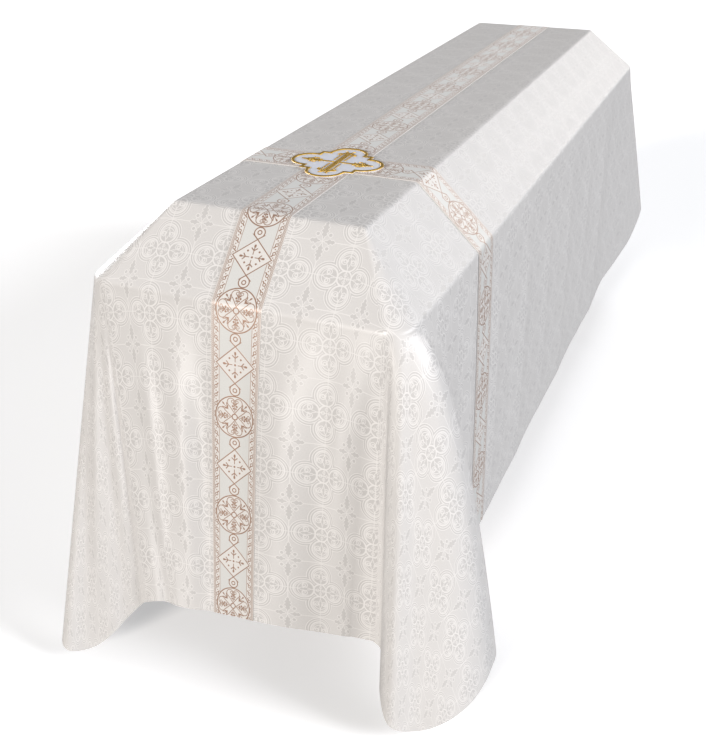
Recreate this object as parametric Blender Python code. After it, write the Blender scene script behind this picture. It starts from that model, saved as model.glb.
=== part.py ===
"""Coffin drape: a brocade pall with two galloon bands and an embroidered medallion, over a coffin on a bier.

Metres, +Z up, +Y from the head end to the foot end. The finished part stands on z = 0 with its box centred on X and Y.
"""

import math
from collections import namedtuple

import bmesh
import bpy
import numpy as np

# Lid, as the inner face of the cloth lies on it
LID_TOP_HALF_WIDTH = 0.188
LID_RIM_HALF_WIDTH = 0.318
LID_TOP_HALF_LENGTH = 0.980
LID_RIM_HALF_LENGTH = 1.108
LID_TOP_HEIGHT = 0.915
LID_RISE = 0.127
CREASE_RADIUS = 0.015
RIM_CORNER_RADIUS = 0.045

# Cloth, bands and medallion
CLOTH = 0.0015
BAND = 0.0010
GAP = 0.0003
BAND_HALF_WIDTH = 0.050
CROSSING_FROM_TOP_EDGE = 0.314
MEDALLION_LOBE_CENTRE = 0.058
MEDALLION_LOBE_RADIUS = 0.041
MEDALLION_GROUND = 0.0012
MEDALLION_BORDER_WIDTH = 0.0065
MEDALLION_BORDER = 0.0020
MEDALLION_CROSS = 0.0015
LOBE_STEPS = 12

# Coffin and bier
COFFIN_CLEARANCE = 0.003
LID_EDGE_RADIUS = 0.018
LID_TOP_CORNER_RADIUS = 0.003
LID_SIDE_HEIGHT = 0.020
BODY_INSET = 0.008
BODY_BOTTOM = 0.420
BODY_CHAMFER = 0.005
ARC_STEPS = 6
LEG_SIDE = 0.050
LEG_X = 0.190
LEG_Y = 0.640
RAIL_THICKNESS = 0.030
RAIL_DEPTH = 0.080

# Share of the drop at each row of points down the skirt
SKIRT_LEVELS = (0.05, 0.12, 0.22, 0.35, 0.50, 0.67, 0.84, 1.0)
CORNER_STEPS = 12
# Length along the hem that a corner's ear takes up as it hangs
EAR_LENGTH = 0.70

Fold = namedtuple("Fold", "along slip out drop ease")
Ear = namedtuple("Ear", "angle side_out end_out drop ease")
Column = namedtuple("Column", "top rim hem drop ease mark")
Net = namedtuple("Net", "points lifts numbers")

# Panels between the ears. along: place on the rim, from the coffin's middle. slip: how far the hem lies along from it.
# out: how far the hem stands out from the rim. drop: hem below rim. ease: under 1 the cloth stands out early.
NEAR_FOLDS = (
    Fold(-0.250, 0.095, 0.120, 0.620, 0.90),
    Fold(-0.200, 0.066, 0.112, 0.621, 0.90),
    Fold(-0.150, 0.042, 0.116, 0.621, 0.88),
    Fold(-0.050, 0.012, 0.101, 0.624, 0.90),
    Fold(0.050, -0.003, 0.094, 0.622, 0.90),
    Fold(0.140, -0.008, 0.082, 0.623, 0.80),
    Fold(0.195, -0.010, 0.067, 0.627, 0.90),
    Fold(0.240, -0.012, 0.064, 0.624, 0.80),
    Fold(0.280, -0.028, 0.054, 0.627, 0.85),
)
RIGHT_FOLDS = (
    Fold(-1.030, 0.044, 0.090, 0.682, 0.62),
    Fold(-0.906, 0.016, 0.034, 0.695, 0.75),
    Fold(-0.756, 0.000, 0.020, 0.698, 0.80),
    Fold(-0.616, 0.000, 0.019, 0.700, 0.80),
    Fold(-0.380, 0.000, 0.021, 0.700, 0.70),
    Fold(-0.150, 0.000, 0.018, 0.700, 0.90),
    Fold(0.100, 0.000, 0.021, 0.700, 0.70),
    Fold(0.380, 0.000, 0.018, 0.700, 0.90),
    Fold(0.620, 0.000, 0.022, 0.700, 0.70),
    Fold(0.780, 0.000, 0.018, 0.700, 0.90),
    Fold(0.900, 0.005, 0.017, 0.700, 0.90),
    Fold(1.010, 0.020, 0.026, 0.700, 0.80),
)
FAR_FOLDS = (
    Fold(0.260, -0.060, 0.088, 0.627, 0.85),
    Fold(0.180, -0.030, 0.064, 0.627, 0.85),
    Fold(0.100, -0.010, 0.082, 0.626, 0.85),
    Fold(0.000, 0.000, 0.066, 0.627, 0.85),
    Fold(-0.100, 0.008, 0.084, 0.626, 0.85),
    Fold(-0.190, 0.020, 0.060, 0.627, 0.85),
    Fold(-0.260, 0.034, 0.066, 0.627, 0.85),
)
LEFT_FOLDS = (
    Fold(1.020, -0.050, 0.070, 0.692, 0.70),
    Fold(0.880, -0.014, 0.030, 0.698, 0.80),
    Fold(0.660, 0.000, 0.014, 0.700, 0.80),
    Fold(0.400, 0.000, 0.030, 0.700, 0.80),
    Fold(0.140, 0.000, 0.016, 0.700, 0.80),
    Fold(-0.140, 0.000, 0.030, 0.700, 0.80),
    Fold(-0.420, 0.000, 0.014, 0.700, 0.80),
    Fold(-0.616, 0.000, 0.020, 0.700, 0.80),
    Fold(-0.800, 0.000, 0.014, 0.698, 0.80),
    Fold(-0.940, 0.016, 0.030, 0.698, 0.80),
    Fold(-1.040, 0.030, 0.044, 0.698, 0.75),
)

# Ears at the corners. angle: the thread's direction at the rim corner, 0 along the end panel, 90 along the side panel.
# side_out and end_out: how far the hem stands out past the coffin's side and past its end.
NEAR_RIGHT_EAR = (
    Ear(0.0, -0.038, 0.054, 0.626, 0.80),
    Ear(14.0, -0.014, 0.066, 0.645, 0.80),
    Ear(25.5, 0.000, 0.112, 0.689, 0.75),
    Ear(38.0, 0.027, 0.136, 0.741, 0.70),
    Ear(52.5, 0.074, 0.109, 0.763, 0.62),
    Ear(64.0, 0.122, 0.082, 0.748, 0.56),
    Ear(72.0, 0.158, 0.042, 0.719, 0.54),
    Ear(81.0, 0.176, -0.014, 0.682, 0.52),
    Ear(90.0, 0.162, -0.078, 0.674, 0.52),
)
FAR_RIGHT_EAR = (
    Ear(90.0, 0.034, 0.060, 0.700, 0.85),
    Ear(71.0, 0.044, 0.220, 0.690, 0.90),
    Ear(54.0, 0.050, 0.392, 0.634, 0.95),
    Ear(44.0, 0.026, 0.396, 0.630, 0.95),
    Ear(25.5, -0.018, 0.260, 0.650, 0.92),
    Ear(14.0, -0.046, 0.162, 0.638, 0.88),
    Ear(0.0, -0.074, 0.104, 0.627, 0.85),
)
FAR_LEFT_EAR = (
    Ear(0.0, -0.034, 0.058, 0.626, 0.80),
    Ear(25.5, -0.002, 0.110, 0.690, 0.75),
    Ear(40.0, 0.030, 0.134, 0.742, 0.70),
    Ear(55.0, 0.076, 0.112, 0.758, 0.64),
    Ear(70.0, 0.112, 0.048, 0.726, 0.60),
    Ear(81.0, 0.116, -0.012, 0.698, 0.60),
    Ear(90.0, 0.098, -0.060, 0.692, 0.64),
)
NEAR_LEFT_EAR = (
    Ear(90.0, 0.062, -0.040, 0.698, 0.80),
    Ear(81.0, 0.070, 0.030, 0.708, 0.95),
    Ear(72.0, 0.064, 0.104, 0.724, 1.00),
    Ear(64.0, 0.042, 0.180, 0.740, 1.00),
    Ear(58.0, 0.022, 0.194, 0.753, 1.00),
    Ear(50.0, -0.004, 0.178, 0.758, 0.95),
    Ear(42.0, -0.034, 0.162, 0.745, 0.90),
    Ear(33.0, -0.066, 0.150, 0.713, 0.88),
    Ear(24.0, -0.090, 0.128, 0.680, 0.88),
    Ear(14.0, -0.118, 0.116, 0.648, 0.90),
    Ear(0.0, -0.141, 0.120, 0.629, 0.90),
)


def material(name, colour, roughness, metallic=0.0):
    """A plain finish for one kind of piece."""
    made = bpy.data.materials.new(name)
    made.use_nodes = True
    shader = made.node_tree.nodes["Principled BSDF"]
    shader.inputs["Base Color"].default_value = (*colour, 1.0)
    shader.inputs["Roughness"].default_value = roughness
    shader.inputs["Metallic"].default_value = metallic
    return made


def add_object(name, bm, finish, smooth_angle=None):
    """Makes an object of a bmesh, with its faces pointing out."""
    bmesh.ops.recalc_face_normals(bm, faces=bm.faces)
    if bm.calc_volume(signed=True) < 0:
        bmesh.ops.reverse_faces(bm, faces=bm.faces)
    mesh = bpy.data.meshes.new(name)
    bm.to_mesh(mesh)
    bm.free()
    mesh.materials.append(finish)
    if smooth_angle is not None:
        mesh.shade_smooth()
        mesh.set_sharp_from_angle(angle=smooth_angle)
    obj = bpy.data.objects.new(name, mesh)
    bpy.context.scene.collection.objects.link(obj)
    return obj


def straight_ends():
    """Half lengths of the rim's straight stretches, between its rounded corners."""
    return LID_RIM_HALF_WIDTH - RIM_CORNER_RADIUS, LID_RIM_HALF_LENGTH - RIM_CORNER_RADIUS


def hem_rows():
    """The folds and ears in one round, counter-clockwise from the near left: hem place, drop and ease at each."""
    half_x, half_y = straight_ends()
    rows = []
    start = 0.0
    for side, folds in (("near", NEAR_FOLDS), ("right", RIGHT_FOLDS), ("far", FAR_FOLDS), ("left", LEFT_FOLDS)):
        lengthwise = side in ("right", "left")
        forward = 1 if side in ("near", "right") else -1
        half = half_y if lengthwise else half_x
        outward = 1 if side in ("right", "far") else -1
        for fold in folds:
            station = start + half + forward * fold.along
            across = outward * ((LID_RIM_HALF_WIDTH if lengthwise else LID_RIM_HALF_LENGTH) + fold.out)
            place = fold.along + fold.slip
            hem = (across, place) if lengthwise else (place, across)
            rows.append((station, *hem, fold.drop, fold.ease))
        start += 2 * half
        ears, sign_x, sign_y = {
            "near": (NEAR_RIGHT_EAR, 1, -1),
            "right": (FAR_RIGHT_EAR, 1, 1),
            "far": (FAR_LEFT_EAR, -1, 1),
            "left": (NEAR_LEFT_EAR, -1, -1),
        }[side]
        for ear in ears:
            turned = ear.angle if side in ("near", "far") else 90.0 - ear.angle
            hem_x = sign_x * (LID_RIM_HALF_WIDTH + ear.side_out)
            hem_y = sign_y * (LID_RIM_HALF_LENGTH + ear.end_out)
            rows.append((start + EAR_LENGTH * turned / 90.0, hem_x, hem_y, ear.drop, ear.ease))
        start += EAR_LENGTH
    return np.array(rows), start


def smooth_round(rows, total, station):
    """The rows' values at a station, on a smooth curve through them that closes on itself."""
    at = np.concatenate([rows[-2:, 0] - total, rows[:, 0], rows[:2, 0] + total])
    values = np.concatenate([rows[-2:, 1:], rows[:, 1:], rows[:2, 1:]])
    i = int(np.clip(np.searchsorted(at, station, side="right") - 1, 1, len(at) - 3))
    span = at[i + 1] - at[i]
    share = (station - at[i]) / span
    start_slope = (values[i + 1] - values[i - 1]) / (at[i + 1] - at[i - 1]) * span
    end_slope = (values[i + 2] - values[i]) / (at[i + 2] - at[i]) * span
    square, cube = share * share, share * share * share
    return (
        (2 * cube - 3 * square + 1) * values[i]
        + (cube - 2 * square + share) * start_slope
        + (3 * square - 2 * cube) * values[i + 1]
        + (cube - square) * end_slope
    )


def spread(stops, counts):
    """Places from stop to stop, each stretch split into its count of equal steps, without the last place."""
    places = []
    for start, end, count in zip(stops, stops[1:], counts):
        places += [start + (end - start) * k / count for k in range(count)]
    return places


def crossing_y():
    return -LID_TOP_HALF_LENGTH + CROSSING_FROM_TOP_EDGE


def side_places():
    """Places of the columns along one end and along one side. Edges of the bands are among them."""
    half_x, half_y = straight_ends()
    band, crossing = BAND_HALF_WIDTH, crossing_y()
    top_x, top_y = LID_TOP_HALF_WIDTH - crease_setback(), LID_TOP_HALF_LENGTH - crease_setback()
    ends = spread((-half_x, -top_x, -band, 0.0, band, top_x, half_x), (3, 4, 1, 1, 4, 3)) + [half_x]
    stops = (-half_y, -top_y, crossing - band, crossing, crossing + band, top_y, half_y)
    return ends, spread(stops, (3, 5, 1, 1, 20, 3)) + [half_y]


def slope_angle():
    return math.atan2(LID_RISE, LID_RIM_HALF_WIDTH - LID_TOP_HALF_WIDTH)


def crease_setback():
    """How far from a fold line the cloth starts to bend."""
    return CREASE_RADIUS * math.tan(slope_angle() / 2)


def slope_profile(radius, reach, rise):
    """Steps out and down from the flat top over both rounded edges of a slope, from where the first bend starts."""
    angle = math.atan2(rise, reach)
    turn = math.pi / 2 - angle
    first, last = radius * math.tan(angle / 2), radius * math.tan(turn / 2)
    return (
        (0.0, 0.0),
        (radius * math.sin(angle / 2), -radius * (1 - math.cos(angle / 2))),
        (first + first * math.cos(angle), -first * math.sin(angle)),
        (first + reach - last * math.cos(angle), -rise + last * math.sin(angle)),
        (first + reach - radius * (1 - math.cos(turn / 2)), -rise - last + radius * math.sin(turn / 2)),
        (first + reach, -rise - last),
    )


def columns():
    """The cloth's columns of points, from the lid's top out to the hem, once round the coffin."""
    half_x, half_y = straight_ends()
    top_x, top_y = LID_TOP_HALF_WIDTH - crease_setback(), LID_TOP_HALF_LENGTH - crease_setback()
    rows, total = hem_rows()
    ends, sides = side_places()
    found = []

    def add(station, rim, mark):
        top = (min(max(rim[0], -top_x), top_x), min(max(rim[1], -top_y), top_y))
        hem_x, hem_y, drop, ease = smooth_round(rows, total, station)
        found.append(Column(top, rim, (hem_x, hem_y), drop, ease, mark))

    start = 0.0
    for side in range(4):
        forward = 1 if side < 2 else -1
        half, places = ((half_x, ends), (half_y, sides))[side % 2]
        for place in places[:: forward]:
            fixed = (-LID_RIM_HALF_LENGTH, LID_RIM_HALF_WIDTH, LID_RIM_HALF_LENGTH, -LID_RIM_HALF_WIDTH)[side]
            rim = (place, fixed) if side % 2 == 0 else (fixed, place)
            add(start + half + forward * place, rim, (side, round(place, 6)))
        start += 2 * half
        centre_x = half_x if side < 2 else -half_x
        centre_y = half_y if side in (1, 2) else -half_y
        for step in range(1, CORNER_STEPS):
            turn = step / CORNER_STEPS
            angle = math.radians(90 * (side - 1 + turn))
            rim = (
                centre_x + RIM_CORNER_RADIUS * math.cos(angle),
                centre_y + RIM_CORNER_RADIUS * math.sin(angle),
            )
            add(start + EAR_LENGTH * turn, rim, (side + 0.5, step))
        start += EAR_LENGTH
    return found


def column_points(column):
    """One column's points, from the lid's flat top over both creases and down the skirt."""
    top, rim = np.array(column.top), np.array(column.rim)
    steps = slope_profile(CREASE_RADIUS, LID_RIM_HALF_WIDTH - LID_TOP_HALF_WIDTH, LID_RISE)
    reach, start = steps[-1]
    points = [(*(top + (rim - top) * out / reach), LID_TOP_HEIGHT + down) for out, down in steps]
    sway = np.array(column.hem) - rim
    for share in SKIRT_LEVELS:
        down = start + share * (-LID_RISE - column.drop - start)
        points.append((*(rim + sway * share**column.ease), LID_TOP_HEIGHT + down))
    return points


def surface(cols):
    """The cloth's inner face as a net of columns by rows: its points, its outward directions and its numbering."""
    points = np.array([column_points(column) for column in cols])
    ahead = np.roll(points, -1, axis=0) - np.roll(points, 1, axis=0)
    down = np.gradient(points, axis=1)
    lifts = np.cross(down, ahead)
    lifts[:, 0] = (0.0, 0.0, 1.0)
    lifts /= np.linalg.norm(lifts, axis=2, keepdims=True)
    numbers = np.stack(np.meshgrid(range(points.shape[0]), range(points.shape[1]), indexing="ij"), axis=2)
    return Net(points, lifts, numbers)


def add_half_faces(bm, corners, from_first):
    """Two triangles of one mesh of the net, split the same way in the cloth and in the bands sewn on it."""
    a, b, c, d = corners
    halves = ((a, b, c), (a, c, d)) if from_first else ((a, b, d), (b, c, d))
    for half in halves:
        if len({tuple(vert.co) for vert in half}) == 3:
            bm.faces.new(half)


def sheet(name, net, low, high, finish, closed=False):
    """A cloth with the form of a net, between two heights over the coffin's side of the drape."""
    bm = bmesh.new()
    lift = bm.verts.layers.float_vector.new("lift")
    grid = []
    for points, lifts in zip(net.points, net.lifts):
        line = []
        for point, direction in zip(points, lifts):
            vert = bm.verts.new(point + direction * low)
            vert[lift] = direction
            line.append(vert)
        grid.append(line)
    count = len(grid)
    for i in range(count if closed else count - 1):
        k = (i + 1) % count
        for j in range(len(grid[i]) - 1):
            corners = (grid[i][j], grid[i][j + 1], grid[k][j + 1], grid[k][j])
            step = net.numbers[k, j + 1] - net.numbers[i, j]
            add_half_faces(bm, corners, step[0] * step[1] > 0)
    if closed:
        bm.faces.new([line[0] for line in grid])
    bmesh.ops.remove_doubles(bm, verts=bm.verts, dist=1e-5)
    made = bmesh.ops.extrude_face_region(bm, geom=list(bm.faces), use_keep_orig=True)
    for element in made["geom"]:
        if isinstance(element, bmesh.types.BMVert):
            element.co += element[lift] * (high - low)
    return add_object(name, bm, finish, smooth_angle=math.radians(50))


def strip(cols, net, side, low, high):
    """The part of the net on one side between two places, in order of place."""
    chosen = [
        i
        for i, column in enumerate(cols)
        if column.mark[0] == side and low - 1e-6 <= column.mark[1] <= high + 1e-6
    ]
    chosen.sort(key=lambda i: cols[i].mark[1])
    return Net(*(values[chosen] for values in net))


def long_band(cols, net, finish):
    """The lengthwise galloon, from the near hem over the lid to the far hem."""
    near = strip(cols, net, 0, -BAND_HALF_WIDTH, BAND_HALF_WIDTH)
    far = strip(cols, net, 2, -BAND_HALF_WIDTH, BAND_HALF_WIDTH)
    whole = Net(*(np.concatenate([start[:, ::-1], end], axis=1) for start, end in zip(near, far)))
    low = CLOTH + GAP
    return sheet("band_long", whole, low, low + BAND, finish)


def cross_band(name, cols, net, side, finish):
    """Half of the crosswise galloon, from the long band's edge out to the hem."""
    crossing = crossing_y()
    half = strip(cols, net, side, crossing - BAND_HALF_WIDTH, crossing + BAND_HALF_WIDTH)
    start = [values[:, :1].copy() for values in half]
    start[0][:, :, 0] = math.copysign(BAND_HALF_WIDTH + GAP, half.points[0, 0, 0])
    whole = Net(*(np.concatenate([first, rest], axis=1) for first, rest in zip(start, half)))
    low = CLOTH + GAP
    return sheet(name, whole, low, low + BAND, finish)


def quatrefoil(inset):
    """Outline of the barbed quatrefoil, moved in by inset: a square's corners between four round lobes."""
    half = MEDALLION_LOBE_CENTRE - inset
    radius = MEDALLION_LOBE_RADIUS - inset
    widest = math.acos((half - MEDALLION_LOBE_CENTRE) / radius)
    outline = []
    for lobe in range(4):
        turn = lobe * math.pi / 2
        shape = [
            (
                MEDALLION_LOBE_CENTRE + radius * math.cos(widest * (2 * k / LOBE_STEPS - 1)),
                radius * math.sin(widest * (2 * k / LOBE_STEPS - 1)),
            )
            for k in range(LOBE_STEPS + 1)
        ]
        shape.append((half, half))
        for x, y in shape:
            outline.append(
                (
                    x * math.cos(turn) - y * math.sin(turn),
                    x * math.sin(turn) + y * math.cos(turn) + crossing_y(),
                )
            )
    return outline


def raise_faces(bm, height):
    """Gives flat faces a thickness, upwards."""
    made = bmesh.ops.extrude_face_region(bm, geom=list(bm.faces), use_keep_orig=True)
    raised = [element for element in made["geom"] if isinstance(element, bmesh.types.BMVert)]
    bmesh.ops.translate(bm, verts=raised, vec=(0.0, 0.0, height))


def medallion_ground(finish):
    """The white satin ground, cut to the quatrefoil."""
    base = LID_TOP_HEIGHT + CLOTH + GAP + BAND + GAP
    bm = bmesh.new()
    bm.faces.new([bm.verts.new((x, y, base)) for x, y in quatrefoil(0.0)])
    raise_faces(bm, MEDALLION_GROUND)
    return add_object("medallion_ground", bm, finish)


def medallion_border(finish):
    """The raised embroidered border round the ground."""
    base = LID_TOP_HEIGHT + CLOTH + BAND + MEDALLION_GROUND + 3 * GAP
    bm = bmesh.new()
    rings = [
        [bm.verts.new((x, y, base)) for x, y in quatrefoil(inset)]
        for inset in (0.0, MEDALLION_BORDER_WIDTH / 2, MEDALLION_BORDER_WIDTH)
    ]
    count = len(rings[0])
    for outer, inner in zip(rings, rings[1:]):
        for i in range(count):
            j = (i + 1) % count
            bm.faces.new((outer[i], outer[j], inner[j], inner[i]))
    raise_faces(bm, MEDALLION_BORDER / 2)
    bm.verts.ensure_lookup_table()
    crown = max(vert.co.z for vert in bm.verts)
    middle = {(round(x, 6), round(y, 6)) for x, y in quatrefoil(MEDALLION_BORDER_WIDTH / 2)}
    for vert in bm.verts:
        if vert.co.z > crown - 1e-6 and (round(vert.co.x, 6), round(vert.co.y, 6)) in middle:
            vert.co.z += MEDALLION_BORDER / 2
    return add_object("medallion_border", bm, finish, smooth_angle=math.radians(50))


def medallion_cross(finish):
    """The embroidered cross: four arms that swell into three-pointed ends."""
    base = LID_TOP_HEIGHT + CLOTH + BAND + MEDALLION_GROUND + 3 * GAP
    # Half an arm, from the crotch to the tip: distance from the centre, half width
    arm = ((0.040, 0.0055), (0.046, 0.0160), (0.054, 0.0165), (0.058, 0.0080), (0.070, 0.0060), (0.078, 0.0))
    crotch = (0.0060, 0.0060)
    bm = bmesh.new()
    outline = []
    for turn in range(4):
        c, s = round(math.cos(turn * math.pi / 2)), round(math.sin(turn * math.pi / 2))
        side = [(out, -half) for out, half in arm] + [(out, half) for out, half in arm[-2::-1]] + [crotch]
        outline += [(x * c - y * s, x * s + y * c + crossing_y()) for x, y in side]
    bm.faces.new([bm.verts.new((x, y, base)) for x, y in outline])
    raise_faces(bm, MEDALLION_CROSS)
    return add_object("medallion_cross", bm, finish)


def block(name, low, high, finish):
    """A plain box between two corners."""
    bm = bmesh.new()
    bmesh.ops.create_cube(bm, size=1.0)
    for vert in bm.verts:
        vert.co = [low[k] if vert.co[k] < 0 else high[k] for k in range(3)]
    return add_object(name, bm, finish)


def plan(half_x, half_y, radius):
    """A rectangle with rounded corners, counter-clockwise."""
    places = []
    for corner, (sign_x, sign_y) in enumerate(((1, 1), (-1, 1), (-1, -1), (1, -1))):
        centre_x, centre_y = sign_x * (half_x - radius), sign_y * (half_y - radius)
        for step in range(ARC_STEPS + 1):
            angle = math.pi / 2 * (corner + step / ARC_STEPS)
            places.append((centre_x + radius * math.cos(angle), centre_y + radius * math.sin(angle)))
    return np.array(places)


def stack(name, rings, finish):
    """A solid through flat rings of points, each (plan, height), from the bottom up."""
    bm = bmesh.new()
    loops = [[bm.verts.new((x, y, height)) for x, y in places] for places, height in rings]
    for lower, upper in zip(loops, loops[1:]):
        for i in range(len(lower)):
            j = (i + 1) % len(lower)
            bm.faces.new((lower[i], lower[j], upper[j], upper[i]))
    bm.faces.new(loops[0][::-1])
    bm.faces.new(loops[-1])
    return add_object(name, bm, finish, smooth_angle=math.radians(40))


def lid_rim_height():
    return LID_TOP_HEIGHT - LID_RISE - COFFIN_CLEARANCE


def coffin_lid(finish):
    """The sloping lid: a low side, four slopes and a flat top, with rounded edges."""
    height = LID_TOP_HEIGHT - GAP
    reach = LID_RIM_HALF_WIDTH - LID_TOP_HALF_WIDTH
    steps = slope_profile(LID_EDGE_RADIUS, reach, height - lid_rim_height())
    setback = COFFIN_CLEARANCE + steps[-1][0] - reach
    inner = plan(LID_TOP_HALF_WIDTH - setback, LID_TOP_HALF_LENGTH - setback, LID_TOP_CORNER_RADIUS)
    outer = plan(
        LID_RIM_HALF_WIDTH - COFFIN_CLEARANCE,
        LID_RIM_HALF_LENGTH - COFFIN_CLEARANCE,
        RIM_CORNER_RADIUS - COFFIN_CLEARANCE,
    )
    rings = [(inner + (outer - inner) * out / steps[-1][0], height + down) for out, down in steps]
    rings.append((outer, lid_rim_height() - LID_SIDE_HEIGHT))
    return stack("coffin_lid", rings[::-1], finish)


def coffin_body(finish):
    """The coffin's straight-sided case, closed by the lid."""
    half_x = LID_RIM_HALF_WIDTH - BODY_INSET
    half_y = LID_RIM_HALF_LENGTH - BODY_INSET
    radius = RIM_CORNER_RADIUS - BODY_INSET
    walls = plan(half_x, half_y, radius)
    foot = plan(half_x - BODY_CHAMFER, half_y - BODY_CHAMFER, radius - BODY_CHAMFER)
    top = lid_rim_height() - LID_SIDE_HEIGHT - GAP
    rings = ((foot, BODY_BOTTOM), (walls, BODY_BOTTOM + BODY_CHAMFER), (walls, top))
    return stack("coffin_body", rings, finish)


def bier(finish):
    """A plain wooden bier: four legs with rails between them, flush with the legs' tops."""
    made = []
    top = BODY_BOTTOM - GAP
    half = LEG_SIDE / 2
    inner_x, inner_y = LEG_X - half - GAP, LEG_Y - half - GAP
    rail = RAIL_THICKNESS / 2
    for end, sign_y in (("near", -1), ("far", 1)):
        for side, sign_x in (("left", -1), ("right", 1)):
            x, y = sign_x * LEG_X, sign_y * LEG_Y
            made.append(
                block(f"bier_leg_{end}_{side}", (x - half, y - half, 0.0), (x + half, y + half, top), finish)
            )
        y = sign_y * LEG_Y
        made.append(
            block(f"bier_rail_{end}", (-inner_x, y - rail, top - RAIL_DEPTH), (inner_x, y + rail, top), finish)
        )
    for side, sign_x in (("left", -1), ("right", 1)):
        x = sign_x * LEG_X
        made.append(
            block(f"bier_rail_{side}", (x - rail, -inner_y, top - RAIL_DEPTH), (x + rail, inner_y, top), finish)
        )
    return made


def centre_on_origin(pieces):
    """Moves every piece so that the whole thing's box is centred on X and Y."""
    corners = np.array([vert.co[:] for piece in pieces for vert in piece.data.vertices])
    middle = (corners.min(axis=0) + corners.max(axis=0)) / 2
    for piece in pieces:
        piece.location = (-middle[0], -middle[1], 0.0)


def main():
    for obj in list(bpy.data.objects):
        bpy.data.objects.remove(obj, do_unlink=True)
    brocade = material("ivory_brocade", (0.80, 0.77, 0.73), 0.45)
    galloon = material("galloon_satin", (0.78, 0.73, 0.68), 0.40)
    satin = material("white_satin", (0.85, 0.86, 0.88), 0.35)
    gold = material("gold_thread", (0.72, 0.50, 0.16), 0.35, metallic=0.8)
    cross_gold = material("gold_thread_cross", (0.70, 0.49, 0.17), 0.35, metallic=0.8)
    oak = material("coffin_oak", (0.36, 0.21, 0.11), 0.5)
    beech = material("bier_beech", (0.55, 0.40, 0.25), 0.55)

    cols = columns()
    net = surface(cols)
    pieces = [
        sheet("drape", net, 0.0, CLOTH, brocade, closed=True),
        long_band(cols, net, galloon),
        cross_band("band_cross_right", cols, net, 1, galloon),
        cross_band("band_cross_left", cols, net, 3, galloon),
        medallion_ground(satin),
        medallion_border(gold),
        medallion_cross(cross_gold),
        coffin_lid(oak),
        coffin_body(oak),
        *bier(beech),
    ]
    centre_on_origin(pieces)


main()
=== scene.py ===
"""Coffin drape, dressed for the render: a brocade pall with galloon bands and an embroidered medallion.

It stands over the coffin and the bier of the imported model, which stay as they are and get their wood.
"""

import math
from collections import namedtuple
from functools import partial

import bmesh
import bpy
import numpy as np
from bpy.props import FloatProperty, FloatVectorProperty, PointerProperty
from mathutils import Matrix, Vector


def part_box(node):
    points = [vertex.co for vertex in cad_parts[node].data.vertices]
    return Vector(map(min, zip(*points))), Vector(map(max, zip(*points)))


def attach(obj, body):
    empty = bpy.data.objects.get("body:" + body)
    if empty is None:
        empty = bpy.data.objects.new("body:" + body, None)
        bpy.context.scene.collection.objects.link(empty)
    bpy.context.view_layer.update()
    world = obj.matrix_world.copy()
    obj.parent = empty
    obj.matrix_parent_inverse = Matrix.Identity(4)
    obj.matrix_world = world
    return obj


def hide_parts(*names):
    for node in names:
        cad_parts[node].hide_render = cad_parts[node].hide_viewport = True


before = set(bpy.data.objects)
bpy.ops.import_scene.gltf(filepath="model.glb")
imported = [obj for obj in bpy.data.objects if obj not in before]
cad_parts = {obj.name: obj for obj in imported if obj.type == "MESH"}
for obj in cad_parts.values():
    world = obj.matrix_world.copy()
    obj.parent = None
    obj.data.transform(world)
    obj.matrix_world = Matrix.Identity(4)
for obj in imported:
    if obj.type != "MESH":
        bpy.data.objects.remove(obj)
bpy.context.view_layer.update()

bl_info = {
    "name": "Coffin drape",
    "version": (1, 0, 0),
    "blender": (4, 5, 0),
    "location": "View3D > Sidebar > Drape",
    "description": "Makes a brocade coffin drape with galloon bands and an embroidered medallion",
    "category": "Add Mesh",
}

COFFIN_LOW, COFFIN_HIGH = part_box("coffin_body")
# The coffin's middle on the floor: every size below is measured from it
MIDDLE = Vector(((COFFIN_LOW.x + COFFIN_HIGH.x) / 2, (COFFIN_LOW.y + COFFIN_HIGH.y) / 2, 0.0))

# Lid, as the inner face of the cloth lies on it
LID_TOP_HALF_WIDTH = 0.188
LID_RIM_HALF_WIDTH = 0.318
LID_TOP_HALF_LENGTH = 0.980
LID_RIM_HALF_LENGTH = 1.108
LID_TOP_HEIGHT = 0.915
LID_RISE = 0.127
CREASE_RADIUS = 0.015
RIM_CORNER_RADIUS = 0.045

# Cloth, bands and medallion
CLOTH = 0.0015
BAND = 0.0010
GAP = 0.0003
BAND_HALF_WIDTH = 0.050
CROSSING_FROM_TOP_EDGE = 0.314
MEDALLION_LOBE_CENTRE = 0.058
MEDALLION_LOBE_RADIUS = 0.041
MEDALLION_GROUND = 0.0012
MEDALLION_BORDER_WIDTH = 0.0065
MEDALLION_BORDER = 0.0020
SATIN_INSET = 0.0008
CROSS_HEIGHT = 0.0016
LOBE_STEPS = 24
ROLL_STEPS = 6
# A roll's height at its edge, as a share of its full height
ROLL_EDGE = 0.15

# Length along the hem that a corner's ear takes up as it hangs
EAR_LENGTH = 0.70
# The cloth's net: columns from corner to top's edge, band, middle and on, along an end and along a side
END_COUNTS = (9, 12, 5, 5, 12, 9)
SIDE_COUNTS = (8, 20, 5, 5, 100, 8)
# Columns round a corner, and rows over a crease, down a slope and down the skirt
CORNER_STEPS = 64
BEND_STEPS = 4
SLOPE_STEPS = 6
SKIRT_STEPS = 28
# Over 1, the skirt's rows lie closer together near the rim
ROW_SPREAD = 1.25
# A share of the drop, added so that the skirt leaves the rim smoothly
RIM_LEAD = 0.015
# How softly the small folds begin, and how much of their depth is gone at the hem
FLUTE_RAMP = 1.5
FLUTE_FADE = 0.8
# Width beside the band over which the threads come to lean with the cloth
LEAN_WIDTH = 0.15
# Points of a sheet and of a roll that lie this close are one
SHEET_WELD = 2e-5
ROLL_WELD = 1e-6

Column = namedtuple("Column", "top rim hem drop ease side place turn")
Net = namedtuple("Net", "points lifts fabric")

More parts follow.
